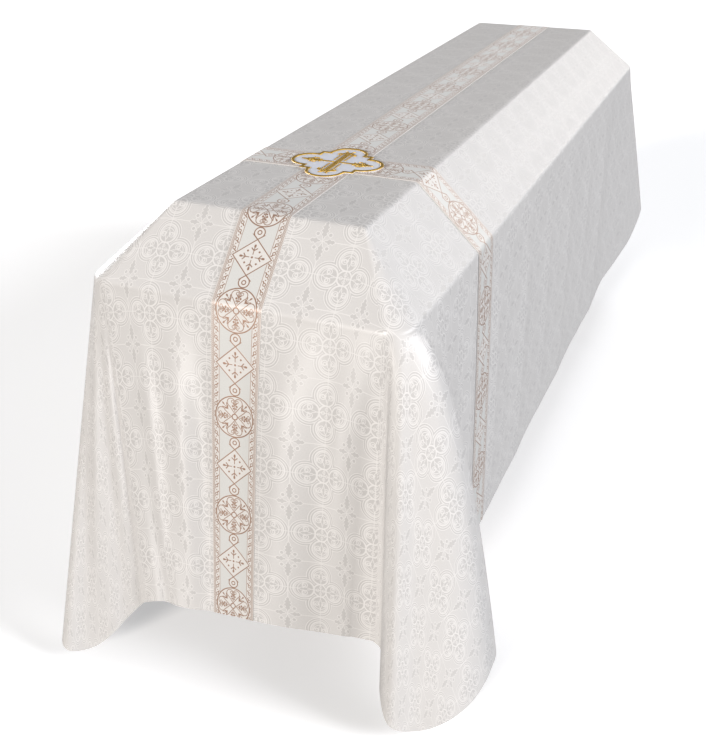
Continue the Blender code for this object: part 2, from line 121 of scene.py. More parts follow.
# Panels between the ears, as rows of along, slip, out, drop and ease. along: place on the rim, from the coffin's
# middle. slip: how far the hem lies along from it. out: how far the hem stands out from the rim. drop: hem below
# rim. ease: under 1 the cloth stands out early.
NEAR_FOLDS = (
    (-0.250, 0.095, 0.120, 0.620, 0.90),
    (-0.200, 0.066, 0.112, 0.621, 0.90),
    (-0.150, 0.042, 0.116, 0.621, 0.88),
    (-0.050, 0.012, 0.101, 0.624, 0.90),
    (0.050, -0.003, 0.094, 0.622, 0.90),
    (0.140, -0.008, 0.082, 0.623, 0.80),
    (0.195, -0.010, 0.067, 0.627, 0.90),
    (0.240, -0.012, 0.064, 0.624, 0.80),
    (0.280, -0.028, 0.054, 0.627, 0.85),
)
RIGHT_FOLDS = (
    (-1.030, 0.044, 0.090, 0.682, 0.62),
    (-0.906, 0.016, 0.034, 0.695, 0.75),
    (-0.756, 0.000, 0.020, 0.698, 0.80),
    (-0.616, 0.000, 0.019, 0.700, 0.80),
    (-0.380, 0.000, 0.021, 0.700, 0.70),
    (-0.150, 0.000, 0.018, 0.700, 0.90),
    (0.100, 0.000, 0.021, 0.700, 0.70),
    (0.380, 0.000, 0.018, 0.700, 0.90),
    (0.620, 0.000, 0.022, 0.700, 0.70),
    (0.780, 0.000, 0.018, 0.700, 0.90),
    (0.900, 0.005, 0.017, 0.700, 0.90),
    (1.010, 0.020, 0.026, 0.700, 0.80),
)
FAR_FOLDS = (
    (0.260, -0.060, 0.088, 0.627, 0.85),
    (0.180, -0.030, 0.064, 0.627, 0.85),
    (0.100, -0.010, 0.082, 0.626, 0.85),
    (0.000, 0.000, 0.066, 0.627, 0.85),
    (-0.100, 0.008, 0.084, 0.626, 0.85),
    (-0.190, 0.020, 0.060, 0.627, 0.85),
    (-0.260, 0.034, 0.066, 0.627, 0.85),
)
LEFT_FOLDS = (
    (1.020, -0.050, 0.070, 0.692, 0.70),
    (0.880, -0.014, 0.030, 0.698, 0.80),
    (0.660, 0.000, 0.014, 0.700, 0.80),
    (0.400, 0.000, 0.030, 0.700, 0.80),
    (0.140, 0.000, 0.016, 0.700, 0.80),
    (-0.140, 0.000, 0.030, 0.700, 0.80),
    (-0.420, 0.000, 0.014, 0.700, 0.80),
    (-0.616, 0.000, 0.020, 0.700, 0.80),
    (-0.800, 0.000, 0.014, 0.698, 0.80),
    (-0.940, 0.016, 0.030, 0.698, 0.80),
    (-1.040, 0.030, 0.044, 0.698, 0.75),
)

# Ears at the corners, as rows of angle, side_out, end_out, drop and ease. angle: the thread's direction at the
# rim corner, 0 on the end panel and 90 on the side panel. side_out and end_out: how far the hem stands out past
# the coffin's side and past its end.
NEAR_RIGHT_EAR = (
    (0.0, -0.038, 0.054, 0.626, 0.80),
    (14.0, -0.014, 0.066, 0.645, 0.80),
    (25.5, 0.000, 0.112, 0.689, 0.75),
    (38.0, 0.027, 0.136, 0.741, 0.70),
    (52.5, 0.074, 0.109, 0.763, 0.62),
    (64.0, 0.122, 0.082, 0.748, 0.56),
    (72.0, 0.158, 0.042, 0.719, 0.54),
    (81.0, 0.176, -0.014, 0.682, 0.52),
    (90.0, 0.162, -0.078, 0.674, 0.52),
)
FAR_RIGHT_EAR = (
    (90.0, 0.034, 0.060, 0.700, 0.85),
    (71.0, 0.044, 0.220, 0.690, 0.90),
    (54.0, 0.050, 0.392, 0.634, 0.95),
    (44.0, 0.026, 0.396, 0.630, 0.95),
    (25.5, -0.018, 0.260, 0.650, 0.92),
    (14.0, -0.046, 0.162, 0.638, 0.88),
    (0.0, -0.074, 0.104, 0.627, 0.85),
)
FAR_LEFT_EAR = (
    (0.0, -0.034, 0.058, 0.626, 0.80),
    (25.5, -0.002, 0.110, 0.690, 0.75),
    (40.0, 0.030, 0.134, 0.742, 0.70),
    (55.0, 0.076, 0.112, 0.758, 0.64),
    (70.0, 0.112, 0.048, 0.726, 0.60),
    (81.0, 0.116, -0.012, 0.698, 0.60),
    (90.0, 0.098, -0.060, 0.692, 0.64),
)
NEAR_LEFT_EAR = (
    (90.0, 0.062, -0.040, 0.698, 0.80),
    (81.0, 0.070, 0.030, 0.708, 0.95),
    (72.0, 0.064, 0.104, 0.724, 1.00),
    (64.0, 0.042, 0.180, 0.740, 1.00),
    (58.0, 0.022, 0.194, 0.753, 1.00),
    (50.0, -0.004, 0.178, 0.758, 0.95),
    (42.0, -0.034, 0.162, 0.745, 0.90),
    (33.0, -0.066, 0.150, 0.713, 0.88),
    (24.0, -0.090, 0.128, 0.680, 0.88),
    (14.0, -0.118, 0.116, 0.648, 0.90),
    (0.0, -0.141, 0.120, 0.629, 0.90),
)

# Small upright folds between the main ones, as rows of side, place, lean, width, out and start. side: 0 near end,
# 1 right, 2 far end, 3 left, and halves for the ears between them. place: where it starts on the rim, in an ear
# as a share of its turn. lean: how far it has moved at the hem. out: its depth, under 0 for a hollow. start: the
# share of the drop where it is at its deepest.
FLUTES = (
    (0, 0.102, -0.006, 0.050, 0.010, 0.35),
    (0, 0.212, -0.014, 0.028, 0.007, 0.30),
    (0, 0.014, -0.002, 0.030, -0.004, 0.40),
    (0, -0.075, 0.010, 0.030, -0.006, 0.45),
    (0, -0.130, 0.030, 0.026, 0.006, 0.40),
    (0, -0.205, 0.010, 0.022, 0.008, 0.35),
    (0.5, 0.480, -0.020, 0.070, 0.006, 0.35),
    (0.5, 0.700, 0.000, 0.080, -0.007, 0.45),
    (3.5, 0.800, -0.020, 0.070, 0.008, 0.35),
    (3.5, 0.560, -0.020, 0.060, 0.007, 0.40),
    (1, -0.760, 0.000, 0.030, 0.006, 0.30),
    (1, -0.560, -0.010, 0.035, 0.006, 0.35),
    (1, -0.430, 0.010, 0.030, -0.004, 0.40),
    (1, -0.300, -0.015, 0.040, 0.006, 0.35),
    (1, -0.080, 0.010, 0.035, 0.005, 0.35),
    (1, 0.160, -0.010, 0.040, 0.006, 0.40),
    (1, 0.420, 0.010, 0.045, 0.006, 0.35),
    (1, 0.640, -0.010, 0.040, 0.007, 0.35),
    (1, 0.800, 0.030, 0.045, -0.005, 0.30),
    (2, 0.050, 0.000, 0.040, -0.005, 0.40),
    (2, -0.150, 0.010, 0.035, 0.007, 0.40),
    (3, 0.520, 0.010, 0.045, 0.006, 0.35),
    (3, 0.000, -0.010, 0.050, 0.007, 0.40),
    (3, -0.520, 0.010, 0.045, 0.006, 0.35),
)


def linear(code):
    """An sRGB hex value as linear red, green and blue."""
    parts = [int(code[i : i + 2], 16) / 255 for i in (0, 2, 4)]
    return tuple(part / 12.92 if part <= 0.04045 else ((part + 0.055) / 1.055) ** 2.4 for part in parts)


class DrapeSizes(bpy.types.PropertyGroup):
    """Sizes that a maker would change."""

    cloth: FloatProperty(
        name="Cloth thickness", description="Brocade with its lining", default=CLOTH, unit="LENGTH"
    )
    galloon: FloatProperty(
        name="Galloon thickness", description="Woven band sewn on the brocade", default=BAND, unit="LENGTH"
    )
    flutes: FloatProperty(
        name="Flute depth", description="Depth of the soft upright folds, as a share", default=1.0, subtype="FACTOR"
    )
    border: FloatProperty(
        name="Border height", description="Medallion's couched edge", default=MEDALLION_BORDER, unit="LENGTH"
    )


def thread_colour(name, description, code):
    """A colour setting, from an sRGB hex value."""
    return FloatVectorProperty(name=name, description=description, default=linear(code), subtype="COLOR")


class DrapeColours(bpy.types.PropertyGroup):
    """Colours that a maker would change."""

    ground: thread_colour("Brocade ground", "Duller ground", "D0CDCA")
    # Painted shade and light: the satin figure is coloured darker than the ground and the outline lighter, for the
    # satin's dark reflection on the lid's top; the woven figure's shapes are real
    satin_figure: thread_colour("Brocade figure", "Glossy satin figure", "C6C3C0")
    outline: thread_colour("Brocade outline", "Matt outlines of the figure", "DEDBD8")
    galloon: thread_colour("Galloon ground", "Ivory satin of the band", "DCD8D3")
    silvery: thread_colour("Galloon field", "Silvery satin between the figures", "D3D2CE")
    copper: thread_colour("Copper thread", "Lurex of the band's figure", "A07E69")
    satin: thread_colour("Medallion satin", "White satin ground", "DCDEE6")
    gold: thread_colour("Gold thread", "Metallised embroidery thread", "CDA548")


def straight_ends():
    """Half lengths of the rim's straight stretches, between its rounded corners."""
    return LID_RIM_HALF_WIDTH - RIM_CORNER_RADIUS, LID_RIM_HALF_LENGTH - RIM_CORNER_RADIUS


def hem_rows():
    """The folds and ears in one round, counter-clockwise from the near left: hem place, drop and ease at each."""
    half_x, half_y = straight_ends()
    sides = (
        (NEAR_FOLDS, NEAR_RIGHT_EAR, 1, -1),
        (RIGHT_FOLDS, FAR_RIGHT_EAR, 1, 1),
        (FAR_FOLDS, FAR_LEFT_EAR, -1, 1),
        (LEFT_FOLDS, NEAR_LEFT_EAR, -1, -1),
    )
    rows = []
    start = 0.0
    for side, (folds, ears, sign_x, sign_y) in enumerate(sides):
        lengthwise = side % 2 == 1
        forward = 1 if side < 2 else -1
        outward = 1 if side in (1, 2) else -1
        half, edge = (half_y, LID_RIM_HALF_WIDTH) if lengthwise else (half_x, LID_RIM_HALF_LENGTH)
        for along, slip, out, drop, ease in folds:
            across, place = outward * (edge + out), along + slip
            hem = (across, place) if lengthwise else (place, across)
            rows.append((start + half + forward * along, *hem, drop, ease))
        start += 2 * half
        for angle, side_out, end_out, drop, ease in ears:
            turned = 90.0 - angle if lengthwise else angle
            hem = (sign_x * (LID_RIM_HALF_WIDTH + side_out), sign_y * (LID_RIM_HALF_LENGTH + end_out))
            rows.append((start + EAR_LENGTH * turned / 90.0, *hem, drop, ease))
        start += EAR_LENGTH
    return np.array(rows), start


def smooth_round(rows, total, station):
    """The rows' values at a station, on a smooth curve through them that closes on itself."""
    at = np.concatenate([rows[-2:, 0] - total, rows[:, 0], rows[:2, 0] + total])
    values = np.concatenate([rows[-2:, 1:], rows[:, 1:], rows[:2, 1:]])
    i = int(np.clip(np.searchsorted(at, station, side="right") - 1, 1, len(at) - 3))
    span = at[i + 1] - at[i]
    share = (station - at[i]) / span
    start_slope = (values[i + 1] - values[i - 1]) / (at[i + 1] - at[i - 1]) * span
    end_slope = (values[i + 2] - values[i]) / (at[i + 2] - at[i]) * span
    square, cube = share * share, share * share * share
    return (
        (2 * cube - 3 * square + 1) * values[i]
        + (cube - 2 * square + share) * start_slope
        + (3 * square - 2 * cube) * values[i + 1]
        + (cube - square) * end_slope
    )


def spread(stops, counts):
    """Places from stop to stop, each stretch split into its count of equal steps."""
    places = [stops[0]]
    for start, end, count in zip(stops, stops[1:], counts):
        places += [start + (end - start) * k / count for k in range(1, count + 1)]
    return places


def crossing_y():
    """Where the bands cross, along the coffin."""
    return -LID_TOP_HALF_LENGTH + CROSSING_FROM_TOP_EDGE


def slope_angle():
    """How steep the lid's slopes are."""
    return math.atan2(LID_RISE, LID_RIM_HALF_WIDTH - LID_TOP_HALF_WIDTH)


def top_halves():
    """Half width and half length of the cloth's flat top, inside the bends."""
    setback = CREASE_RADIUS * math.tan(slope_angle() / 2)
    return LID_TOP_HALF_WIDTH - setback, LID_TOP_HALF_LENGTH - setback


def column_places():
    """Places of the columns along one end and along one side. Edges of the bands are among them."""
    half_x, half_y = straight_ends()
    top_x, top_y = top_halves()
    band, crossing = BAND_HALF_WIDTH, crossing_y()
    ends = spread((-half_x, -top_x, -band, 0.0, band, top_x, half_x), END_COUNTS)
    stops = (-half_y, -top_y, crossing - band, crossing, crossing + band, top_y, half_y)
    return ends, spread(stops, SIDE_COUNTS)


def slope_steps():
    """Steps out and down from the flat top over both rounded edges of a slope."""
    radius, reach, rise = CREASE_RADIUS, LID_RIM_HALF_WIDTH - LID_TOP_HALF_WIDTH, LID_RISE
    angle = slope_angle()
    turn = math.pi / 2 - angle
    first, last = radius * math.tan(angle / 2), radius * math.tan(turn / 2)
    steps = []
    for k in range(BEND_STEPS + 1):
        bend = angle * k / BEND_STEPS
        steps.append((radius * math.sin(bend), -radius * (1 - math.cos(bend))))
    low = (first + reach - last * math.cos(angle), -rise + last * math.sin(angle))
    high = steps[-1]
    for k in range(1, SLOPE_STEPS):
        share = k / SLOPE_STEPS
        steps.append(tuple(a + (b - a) * share for a, b in zip(high, low)))
    for k in range(BEND_STEPS + 1):
        bend = turn * (1 - k / BEND_STEPS)
        steps.append((first + reach - radius * (1 - math.cos(bend)), -rise - last + radius * math.sin(bend)))
    return steps


def columns():
    """The cloth's columns, once round the coffin. turn: 0 on an end panel, 1 on a side panel, between in an ear."""
    half_x, half_y = straight_ends()
    top_x, top_y = top_halves()
    rows, total = hem_rows()
    ends, sides = column_places()
    found = []

    def add(station, rim, side, place, turn):
        top = (min(max(rim[0], -top_x), top_x), min(max(rim[1], -top_y), top_y))
        hem_x, hem_y, drop, ease = smooth_round(rows, total, station)
        found.append(Column(top, rim, (hem_x, hem_y), drop, ease, side, place, turn))

    start = 0.0
    for side in range(4):
        forward = 1 if side < 2 else -1
        half, places = ((half_x, ends), (half_y, sides))[side % 2]
        for place in places[::forward]:
            fixed = (-LID_RIM_HALF_LENGTH, LID_RIM_HALF_WIDTH, LID_RIM_HALF_LENGTH, -LID_RIM_HALF_WIDTH)[side]
            rim = (place, fixed) if side % 2 == 0 else (fixed, place)
            add(start + half + forward * place, rim, side, place, side % 2)
        start += 2 * half
        centre_x = half_x if side < 2 else -half_x
        centre_y = half_y if side in (1, 2) else -half_y
        for step in range(1, CORNER_STEPS):
            turn = step / CORNER_STEPS
            angle = math.radians(90 * (side - 1 + turn))
            way = np.array((math.cos(angle), math.sin(angle)))
            rim = tuple(way * RIM_CORNER_RADIUS + (centre_x, centre_y))
            add(start + EAR_LENGTH * turn, rim, side + 0.5, turn, turn if side % 2 == 0 else 1 - turn)
        start += EAR_LENGTH
    return found


def column_points(column, flutes):
    """One column's points, from the lid's flat top over both creases and down the skirt."""
    top, rim = np.array(column.top), np.array(column.rim)
    steps = slope_steps()
    reach, start = steps[-1]
    points = [(*(top + (rim - top) * out / reach), LID_TOP_HEIGHT + down) for out, down in steps]
    sway = np.array(column.hem) - rim
    outward = sway / max(np.linalg.norm(sway), 1e-9)
    base, whole = RIM_LEAD**column.ease, (1 + RIM_LEAD) ** column.ease
    for k in range(1, SKIRT_STEPS + 1):
        share = (k / SKIRT_STEPS) ** ROW_SPREAD
        down = start + share * (-LID_RISE - column.drop - start)
        stand = ((share + RIM_LEAD) ** column.ease - base) / (whole - base)
        place = rim + sway * stand + outward * flutes * flute_depth(column, share)
        points.append((*place, LID_TOP_HEIGHT + down))
    return points


def flute_depth(column, share):
    """How far the small upright folds push the cloth out, at a share of the way down the skirt."""
    depth = 0.0
    for side, place, lean, width, out, start in FLUTES:
        if side == column.side:
            near = (column.place - (place + lean * share)) / width
            depth += out * math.exp(-near * near) * min(1.0, share / start) ** FLUTE_RAMP
    # They flatten towards the hem, which hangs nearly straight
    return depth * (1 - FLUTE_FADE * share**4)


def fabric_places(column, points):
    """Where the column's points lie on the flat cloth, in metres across and along it from the crossing."""
    top, rim = np.array(column.top), np.array(column.rim)
    count = len(slope_steps())
    lengths = np.linalg.norm(np.diff(points, axis=0), axis=1)
    out = rim - top
    sign_x, sign_y = math.copysign(1, rim[0]), math.copysign(1, rim[1])
    reach = LID_RIM_HALF_WIDTH - LID_TOP_HALF_WIDTH
    slope = math.hypot(reach, LID_RISE)
    widest = math.atan2(reach, slope)
    if column.turn in (0, 1):
        angle = math.radians(45) * math.atan2(abs(out[column.turn]), slope) / widest
        angle = math.radians(90) - angle if column.turn else angle
    else:
        edge = 45 * (math.atan2(reach - RIM_CORNER_RADIUS, slope) / widest)
        angle = math.radians(edge + (90 - 2 * edge) * column.turn)
    hang = math.radians(90) * column.turn
    if column.side == 0 and column.place > BAND_HALF_WIDTH:
        # Beside the near right ear the threads lean with the cloth
        lean = math.atan2(column.hem[0] - rim[0], column.drop)
        hang = lean * min(1.0, (column.place - BAND_HALF_WIDTH) / LEAN_WIDTH)
    place = np.array([top[0], top[1] - crossing_y()])
    found = [place]
    for k, length in enumerate(lengths):
        way = angle if k < count - 1 else hang
        place = place + length * np.array([sign_x * math.sin(way), sign_y * math.cos(way)])
        found.append(place)
    return found


def cloth_net(flutes):
    """The cloth's inner face: its columns, and its points, outward directions and places on the flat cloth."""
    cols = columns()
    points = np.array([column_points(column, flutes) for column in cols])
    ahead = np.roll(points, -1, axis=0) - np.roll(points, 1, axis=0)
    down = np.gradient(points, axis=1)
    lifts = np.cross(down, ahead)
    lifts[:, 0] = (0.0, 0.0, 1.0)
    lifts /= np.linalg.norm(lifts, axis=2, keepdims=True)
    fabric = np.array([fabric_places(column, line) for column, line in zip(cols, points)])
    return cols, Net(points, lifts, fabric)


def top_net(xs, ys):
    """The cloth on the lid's flat top, at these places across and along."""
    points = np.array([[(x, y, LID_TOP_HEIGHT) for y in ys] for x in xs])
    lifts = np.zeros_like(points)
    lifts[:, :, 2] = 1.0
    fabric = np.array([[(x, y - crossing_y()) for y in ys] for x in xs])
    return Net(points, lifts, fabric)


def grid_step(vert, wide, long):
    """The column and row of a point in a new grid, which reaches from -1 to 1 both ways."""
    return round((vert.co.x + 1) / 2 * wide), round((vert.co.y + 1) / 2 * long)


def lay_grid(bm, points, fabric):
    """Adds a grid and lays each of its points in place, with its place on the flat cloth kept beside it."""
    wide, long = len(points) - 1, len(points[0]) - 1
    kept = bm.verts.layers.float_vector["fabric"]
    made = bmesh.ops.create_grid(bm, x_segments=wide, y_segments=long, size=1.0)
    for vert in made["verts"]:
        i, j = grid_step(vert, wide, long)
        vert.co = points[i][j]
        vert[kept] = (*fabric[i][j], 0.0)


def new_object(name, bm, material):
    """Makes an object of a bmesh and links it to the scene."""
    mesh = bpy.data.meshes.new(name)
    bm.to_mesh(mesh)
    bm.free()
    mesh.materials.append(material)
    made = bpy.data.objects.new(name, mesh)
    bpy.context.scene.collection.objects.link(made)
    return made


def add_piece(name, bm, material, body="root"):
    """Makes a smooth piece of a bmesh measured from the coffin's middle, and lets it ride on the body."""
    bmesh.ops.translate(bm, verts=bm.verts, vec=MIDDLE)
    piece = new_object(name, bm, material)
    piece.data.shade_smooth()
    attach(piece, body)
    return piece


def finish_sheet(bm, name, material, thickness):
    """Merges a sheet's grids, turns it to face up and out, unwraps it as it was cut and gives it its thickness."""
    bmesh.ops.remove_doubles(bm, verts=bm.verts, dist=SHEET_WELD)
    # A sharp edge, so that the hem isn't shaded as if it were rolled
    for edge in bm.edges:
        edge.smooth = not edge.is_boundary
    bmesh.ops.recalc_face_normals(bm, faces=bm.faces)
    flattest = max(bm.faces, key=lambda face: face.normal.z**2 * face.calc_area())
    if flattest.normal.z < 0:
        bmesh.ops.reverse_faces(bm, faces=bm.faces)
    kept = bm.verts.layers.float_vector["fabric"]
    unwrapped = bm.loops.layers.uv.new("fabric")
    for face in bm.faces:
        for loop in face.loops:
            loop[unwrapped].uv = loop.vert[kept].xy
    bm.verts.layers.float_vector.remove(kept)
    piece = add_piece(name, bm, material)
    wall = piece.modifiers.new("thickness", "SOLIDIFY")
    wall.thickness = thickness
    wall.offset = 1.0
    return piece


def new_sheet():
    """An empty mesh that keeps each point's place on the flat cloth."""
    bm = bmesh.new()
    bm.verts.layers.float_vector.new("fabric")
    return bm


def strip(cols, net, side, low, high):
    """The part of the net on one side between two places, in order of place."""
    kept = set(between([column.place for column in cols if column.side == side], low, high))
    chosen = [i for i, column in enumerate(cols) if column.side == side and column.place in kept]
    chosen.sort(key=lambda i: cols[i].place)
    return Net(*(values[chosen] for values in net))


def join(*nets):
    """Nets laid end to end along their rows."""
    return Net(*(np.concatenate(parts, axis=1) for parts in zip(*nets)))


def backwards(net):
    """The net with its rows in the opposite order."""
    return Net(*(values[:, ::-1] for values in net))


def between(places, low, high):
    """The places from low to high, with both ends."""
    return [place for place in places if low - 1e-6 <= place <= high + 1e-6]


def drape_sheet(flutes, finish, thickness):
    """The brocade: one net from the top's edge to the hem, all round, and one on the lid's flat top."""
    net = cloth_net(flutes)[1]
    ends, sides = column_places()
    top_x, top_y = top_halves()
    bm = new_sheet()
    closed = Net(*(np.concatenate([values, values[:1]]) for values in net))
    lay_grid(bm, closed.points, closed.fabric)
    top = top_net(between(ends, -top_x, top_x), between(sides, -top_y, top_y))
    lay_grid(bm, top.points, top.fabric)
    return finish_sheet(bm, "brocade_drape", finish, thickness)


def band_sheet(name, net, turned, low, finish, thickness):
    """A galloon on the cloth, at a height over the net. turned: its length runs across the drape."""
    bm = new_sheet()
    fabric = net.fabric[:, :, ::-1] if turned else net.fabric
    lay_grid(bm, net.points + net.lifts * low, fabric)
    return finish_sheet(bm, name, finish, thickness)


def long_band(flutes, *sewn):
    """The lengthwise galloon, from hem to hem. sewn: its height, finish and thickness."""
    cols, net = cloth_net(flutes)
    ends, sides = column_places()
    top_y = top_halves()[1]
    half = BAND_HALF_WIDTH
    near, far = strip(cols, net, 0, -half, half), strip(cols, net, 2, -half, half)
    inner = between(sides, -top_y, top_y)[1:-1]
    top = top_net(between(ends, -half, half), inner)
    return band_sheet("galloon_long", join(backwards(near), top, far), False, *sewn)


def cross_band(name, side, flutes, *sewn):
    """Half of the crosswise galloon, from the long band's edge out to the hem."""
    cols, net = cloth_net(flutes)
    ends, sides = column_places()
    top_x = top_halves()[0]
    half, crossing = BAND_HALF_WIDTH, crossing_y()
    outer = strip(cols, net, side, crossing - half, crossing + half)
    xs = [half + GAP] + between(ends, half, top_x)[1:-1]
    if side == 3:
        xs = [-x for x in xs]
    top = top_net(xs, between(sides, crossing - half, crossing + half))
    across = Net(*(np.swapaxes(values, 0, 1) for values in top))
    return band_sheet(name, join(across, outer), True, *sewn)


def quatrefoil(inset):
    """Outline of the barbed quatrefoil, moved in by inset: a square's corners between four round lobes."""
    half = MEDALLION_LOBE_CENTRE - inset
    radius = MEDALLION_LOBE_RADIUS - inset
    widest = math.acos((half - MEDALLION_LOBE_CENTRE) / radius)
    lobe = []
    for k in range(LOBE_STEPS + 1):
        angle = widest * (2 * k / LOBE_STEPS - 1)
        lobe.append((MEDALLION_LOBE_CENTRE + radius * math.cos(angle), radius * math.sin(angle)))
    lobe.append((half, half))
    outline = []
    for quarter in range(4):
        cos, sin = math.cos(quarter * math.pi / 2), math.sin(quarter * math.pi / 2)
        outline += [(x * cos - y * sin, x * sin + y * cos + crossing_y()) for x, y in lobe]
    return outline


def medallion_ground(low, finish):
    """The satin ground: a disc of cloth laid to the quatrefoil, and its thickness."""
    bm = new_sheet()
    outline = quatrefoil(SATIN_INSET)
    kept = bm.verts.layers.float_vector["fabric"]
    made = bmesh.ops.create_circle(bm, cap_ends=True, segments=len(outline), radius=0.1)
    for vert, (x, y) in zip(made["verts"], outline):
        vert.co = (x, y, LID_TOP_HEIGHT + low)
        vert[kept] = (x, y - crossing_y(), 0.0)
    return finish_sheet(bm, "medallion_satin", finish, MEDALLION_GROUND)


def lay_roll(bm, sections, closed):
    """Adds a padded roll of couched thread through its cross-sections, with a UV along it and across it."""
    unwrapped = bm.loops.layers.uv.verify()
    lined = [*sections, sections[0]] if closed else sections
    points = np.array([[*section, section[0]] for section in lined])
    along = np.concatenate([[0.0], np.cumsum(np.linalg.norm(np.diff(points.mean(axis=1), axis=0), axis=1))])
    across = np.linspace(0.0, 1.0, points.shape[1])
    wide, long = len(points) - 1, len(points[0]) - 1
    made = bmesh.ops.create_grid(bm, x_segments=wide, y_segments=long, size=1.0)
    faces = {face for vert in made["verts"] for face in vert.link_faces}
    for face in faces:
        for loop in face.loops:
            i, j = grid_step(loop.vert, wide, long)
            loop[unwrapped].uv = (along[i], across[j])
    for vert in made["verts"]:
        i, j = grid_step(vert, wide, long)
        vert.co = points[i][j]


def rolled(places, height, base):
    """A roll's cross-section over places from one edge to the other: flat below, round above."""
    last = len(places) - 1
    rounds = [ROLL_EDGE + (1 - ROLL_EDGE) * math.sin(math.pi * k / last) for k in range(last + 1)]
    section = [(*place, base + height * part) for place, part in zip(places, rounds)]
    return [*section, (*places[-1], base), (*places[0], base)]


def stitched_line(bm, path, halves, height, base):
    """A padded line of satin stitch along a path, with its half width at each point."""
    path = np.array(path)
    ways = np.gradient(path, axis=0)
    ways /= np.linalg.norm(ways, axis=1, keepdims=True)
    sections = []
    for point, way, half in zip(path, ways, halves):
        across = np.array((-way[1], way[0])) * half
        turns = [math.cos(math.pi * k / ROLL_STEPS) for k in range(ROLL_STEPS + 1)]
        sections.append(rolled([point + (0.0, crossing_y()) + across * turn for turn in turns], height, base))
    lay_roll(bm, sections, closed=False)


def arc(centre, radius, angles, count):
    """Points of an arc, from one angle in degrees to another."""
    turns = np.radians(np.linspace(*angles, count))
    return [(centre[0] + radius * math.cos(turn), centre[1] + radius * math.sin(turn)) for turn in turns]


def close_roll(bm, name, finish):
    """Merges a piece's rolls, fills their ends, turns them to face out and makes them an object."""
    bmesh.ops.remove_doubles(bm, verts=bm.verts, dist=ROLL_WELD)
    open_edges = [edge for edge in bm.edges if edge.is_boundary]
    if open_edges:
        bmesh.ops.holes_fill(bm, edges=open_edges, sides=0)
    bmesh.ops.recalc_face_normals(bm, faces=bm.faces)
    return add_piece(name, bm, finish)


def medallion_border(low, height, finish):
    """The padded edge of the medallion, round the whole quatrefoil."""
    shares = [(1 - math.cos(math.pi * k / ROLL_STEPS)) / 2 for k in range(ROLL_STEPS + 1)]
    rings = [quatrefoil(MEDALLION_BORDER_WIDTH * share) for share in shares]
    bm = bmesh.new()
    lay_roll(bm, [rolled(places, height, LID_TOP_HEIGHT + low) for places in zip(*rings)], closed=True)
    return close_roll(bm, "medallion_border", finish)


# Scrolls of the cross in one quarter, from the crossing, as rows of turned, centre, radius, angles and halves.
# turned: at the cross arm's end. angles: where it starts and ends, in degrees. halves: its half width along it.
LEAF = (0.0008, 0.0016, 0.0023, 0.0026, 0.0025, 0.0021, 0.0015, 0.0009, 0.0003)
BROAD_LEAF = (0.0008, 0.0018, 0.0025, 0.0029, 0.0028, 0.0023, 0.0016, 0.0009, 0.0003)
SCROLLS = (
    (False, (0.0150, 0.052), 0.0050, (200, -80), np.linspace(0.0016, 0.0004, 11)),
    (False, (0.0200, 0.066), 0.0125, (180, 270), LEAF),
    (False, (0.0110, 0.066), 0.0072, (180, 95), np.linspace(0.0020, 0.0008, 7)),
    (True, (0.0085, 0.048), 0.0055, (250, -60), np.linspace(0.0018, 0.0005, 11)),
    (True, (0.0150, 0.066), 0.0110, (175, 275), BROAD_LEAF),
    (True, (0.0000, 0.036), 0.0062, (60, -10), np.linspace(0.0004, 0.0016, 7)),
)


def medallion_cross(low, height, finish):
    """The embroidered cross: a ribbed long arm, a thin cross arm, and scrolls at all four ends."""
    base = LID_TOP_HEIGHT + low
    bm = bmesh.new()
    # Three ribs that spread at both ends
    for offset in (-0.0036, 0.0, 0.0036):
        ys = np.linspace(-0.066, 0.066, 25)
        path = [(offset * (1 + 0.5 * max(0.0, abs(y) - 0.052) / 0.014), y) for y in ys]
        stitched_line(bm, path, [0.0019] * len(path), height, base)
    for side in (-1, 1):
        for end in (-1, 1):
            bar = [(side * 0.0115, end * y) for y in np.linspace(0.012, 0.050, 9)]
            stitched_line(bm, bar, [0.0014] * len(bar), height, base)
            for turned, centre, radius, angles, halves in SCROLLS:
                curve = arc(centre, radius, angles, len(halves))
                path = [(end * y, side * x) if turned else (side * x, end * y) for x, y in curve]
                stitched_line(bm, path, halves, height, base)
    # The cross arm: a bar and a pointed tip on each side
    tip = [max(0.0034 * math.sin(math.pi * (0.15 + 0.85 * k / 8)), 0.0002) for k in range(9)]
    for end in (-1, 1):
        for start, stop, halves in ((0.0072, 0.060, [0.0026] * 9), (0.060, 0.079, tip)):
            arm = [(end * x, 0.0) for x in np.linspace(start, stop, 9)]
            stitched_line(bm, arm, halves, height, base)
    return close_roll(bm, "medallion_cross", finish)


def node(tree, kind, *values, sockets=None, output=0, **settings):
    """Adds a node with its settings, sets or links its inputs, and gives one of its outputs."""
    kind, _, operation = kind.partition(".")
    made = tree.nodes.new("ShaderNode" + kind)
    if operation:
        made.operation = operation
    for name, value in settings.items():
        setattr(made, name, value)
    for socket, value in [*enumerate(values), *(sockets or {}).items()]:
        if isinstance(value, bpy.types.NodeSocket):
            tree.links.new(value, made.inputs[socket])
        elif value is not None:
            made.inputs[socket].default_value = value
    return made.outputs[output] if made.outputs else made


def new_material(name):
    """A material without nodes, and the function that adds them to it."""
    material = bpy.data.materials.new(name)
    material.use_nodes = True
    material.node_tree.nodes.clear()
    return material, partial(node, material.node_tree)


def filled(add, distance, soft=0.35):
    """1 inside a shape and 0 outside, from the distance to its outline in mm."""
    return add("MapRange", distance, soft, -soft, 0.0, 1.0, interpolation_type="SMOOTHSTEP")


def outlined(add, distance, half, soft=0.35):
    """1 on a shape's outline, half to each side of it."""
    away = add("Math.ABSOLUTE", distance)
    return filled(add, add("Math.SUBTRACT", away, half), soft)


def any_of(add, *masks):
    """The highest of some values: 1 where any mask is."""
    found = masks[0]
    for mask in masks[1:]:
        found = add("Math.MAXIMUM", found, mask)
    return found


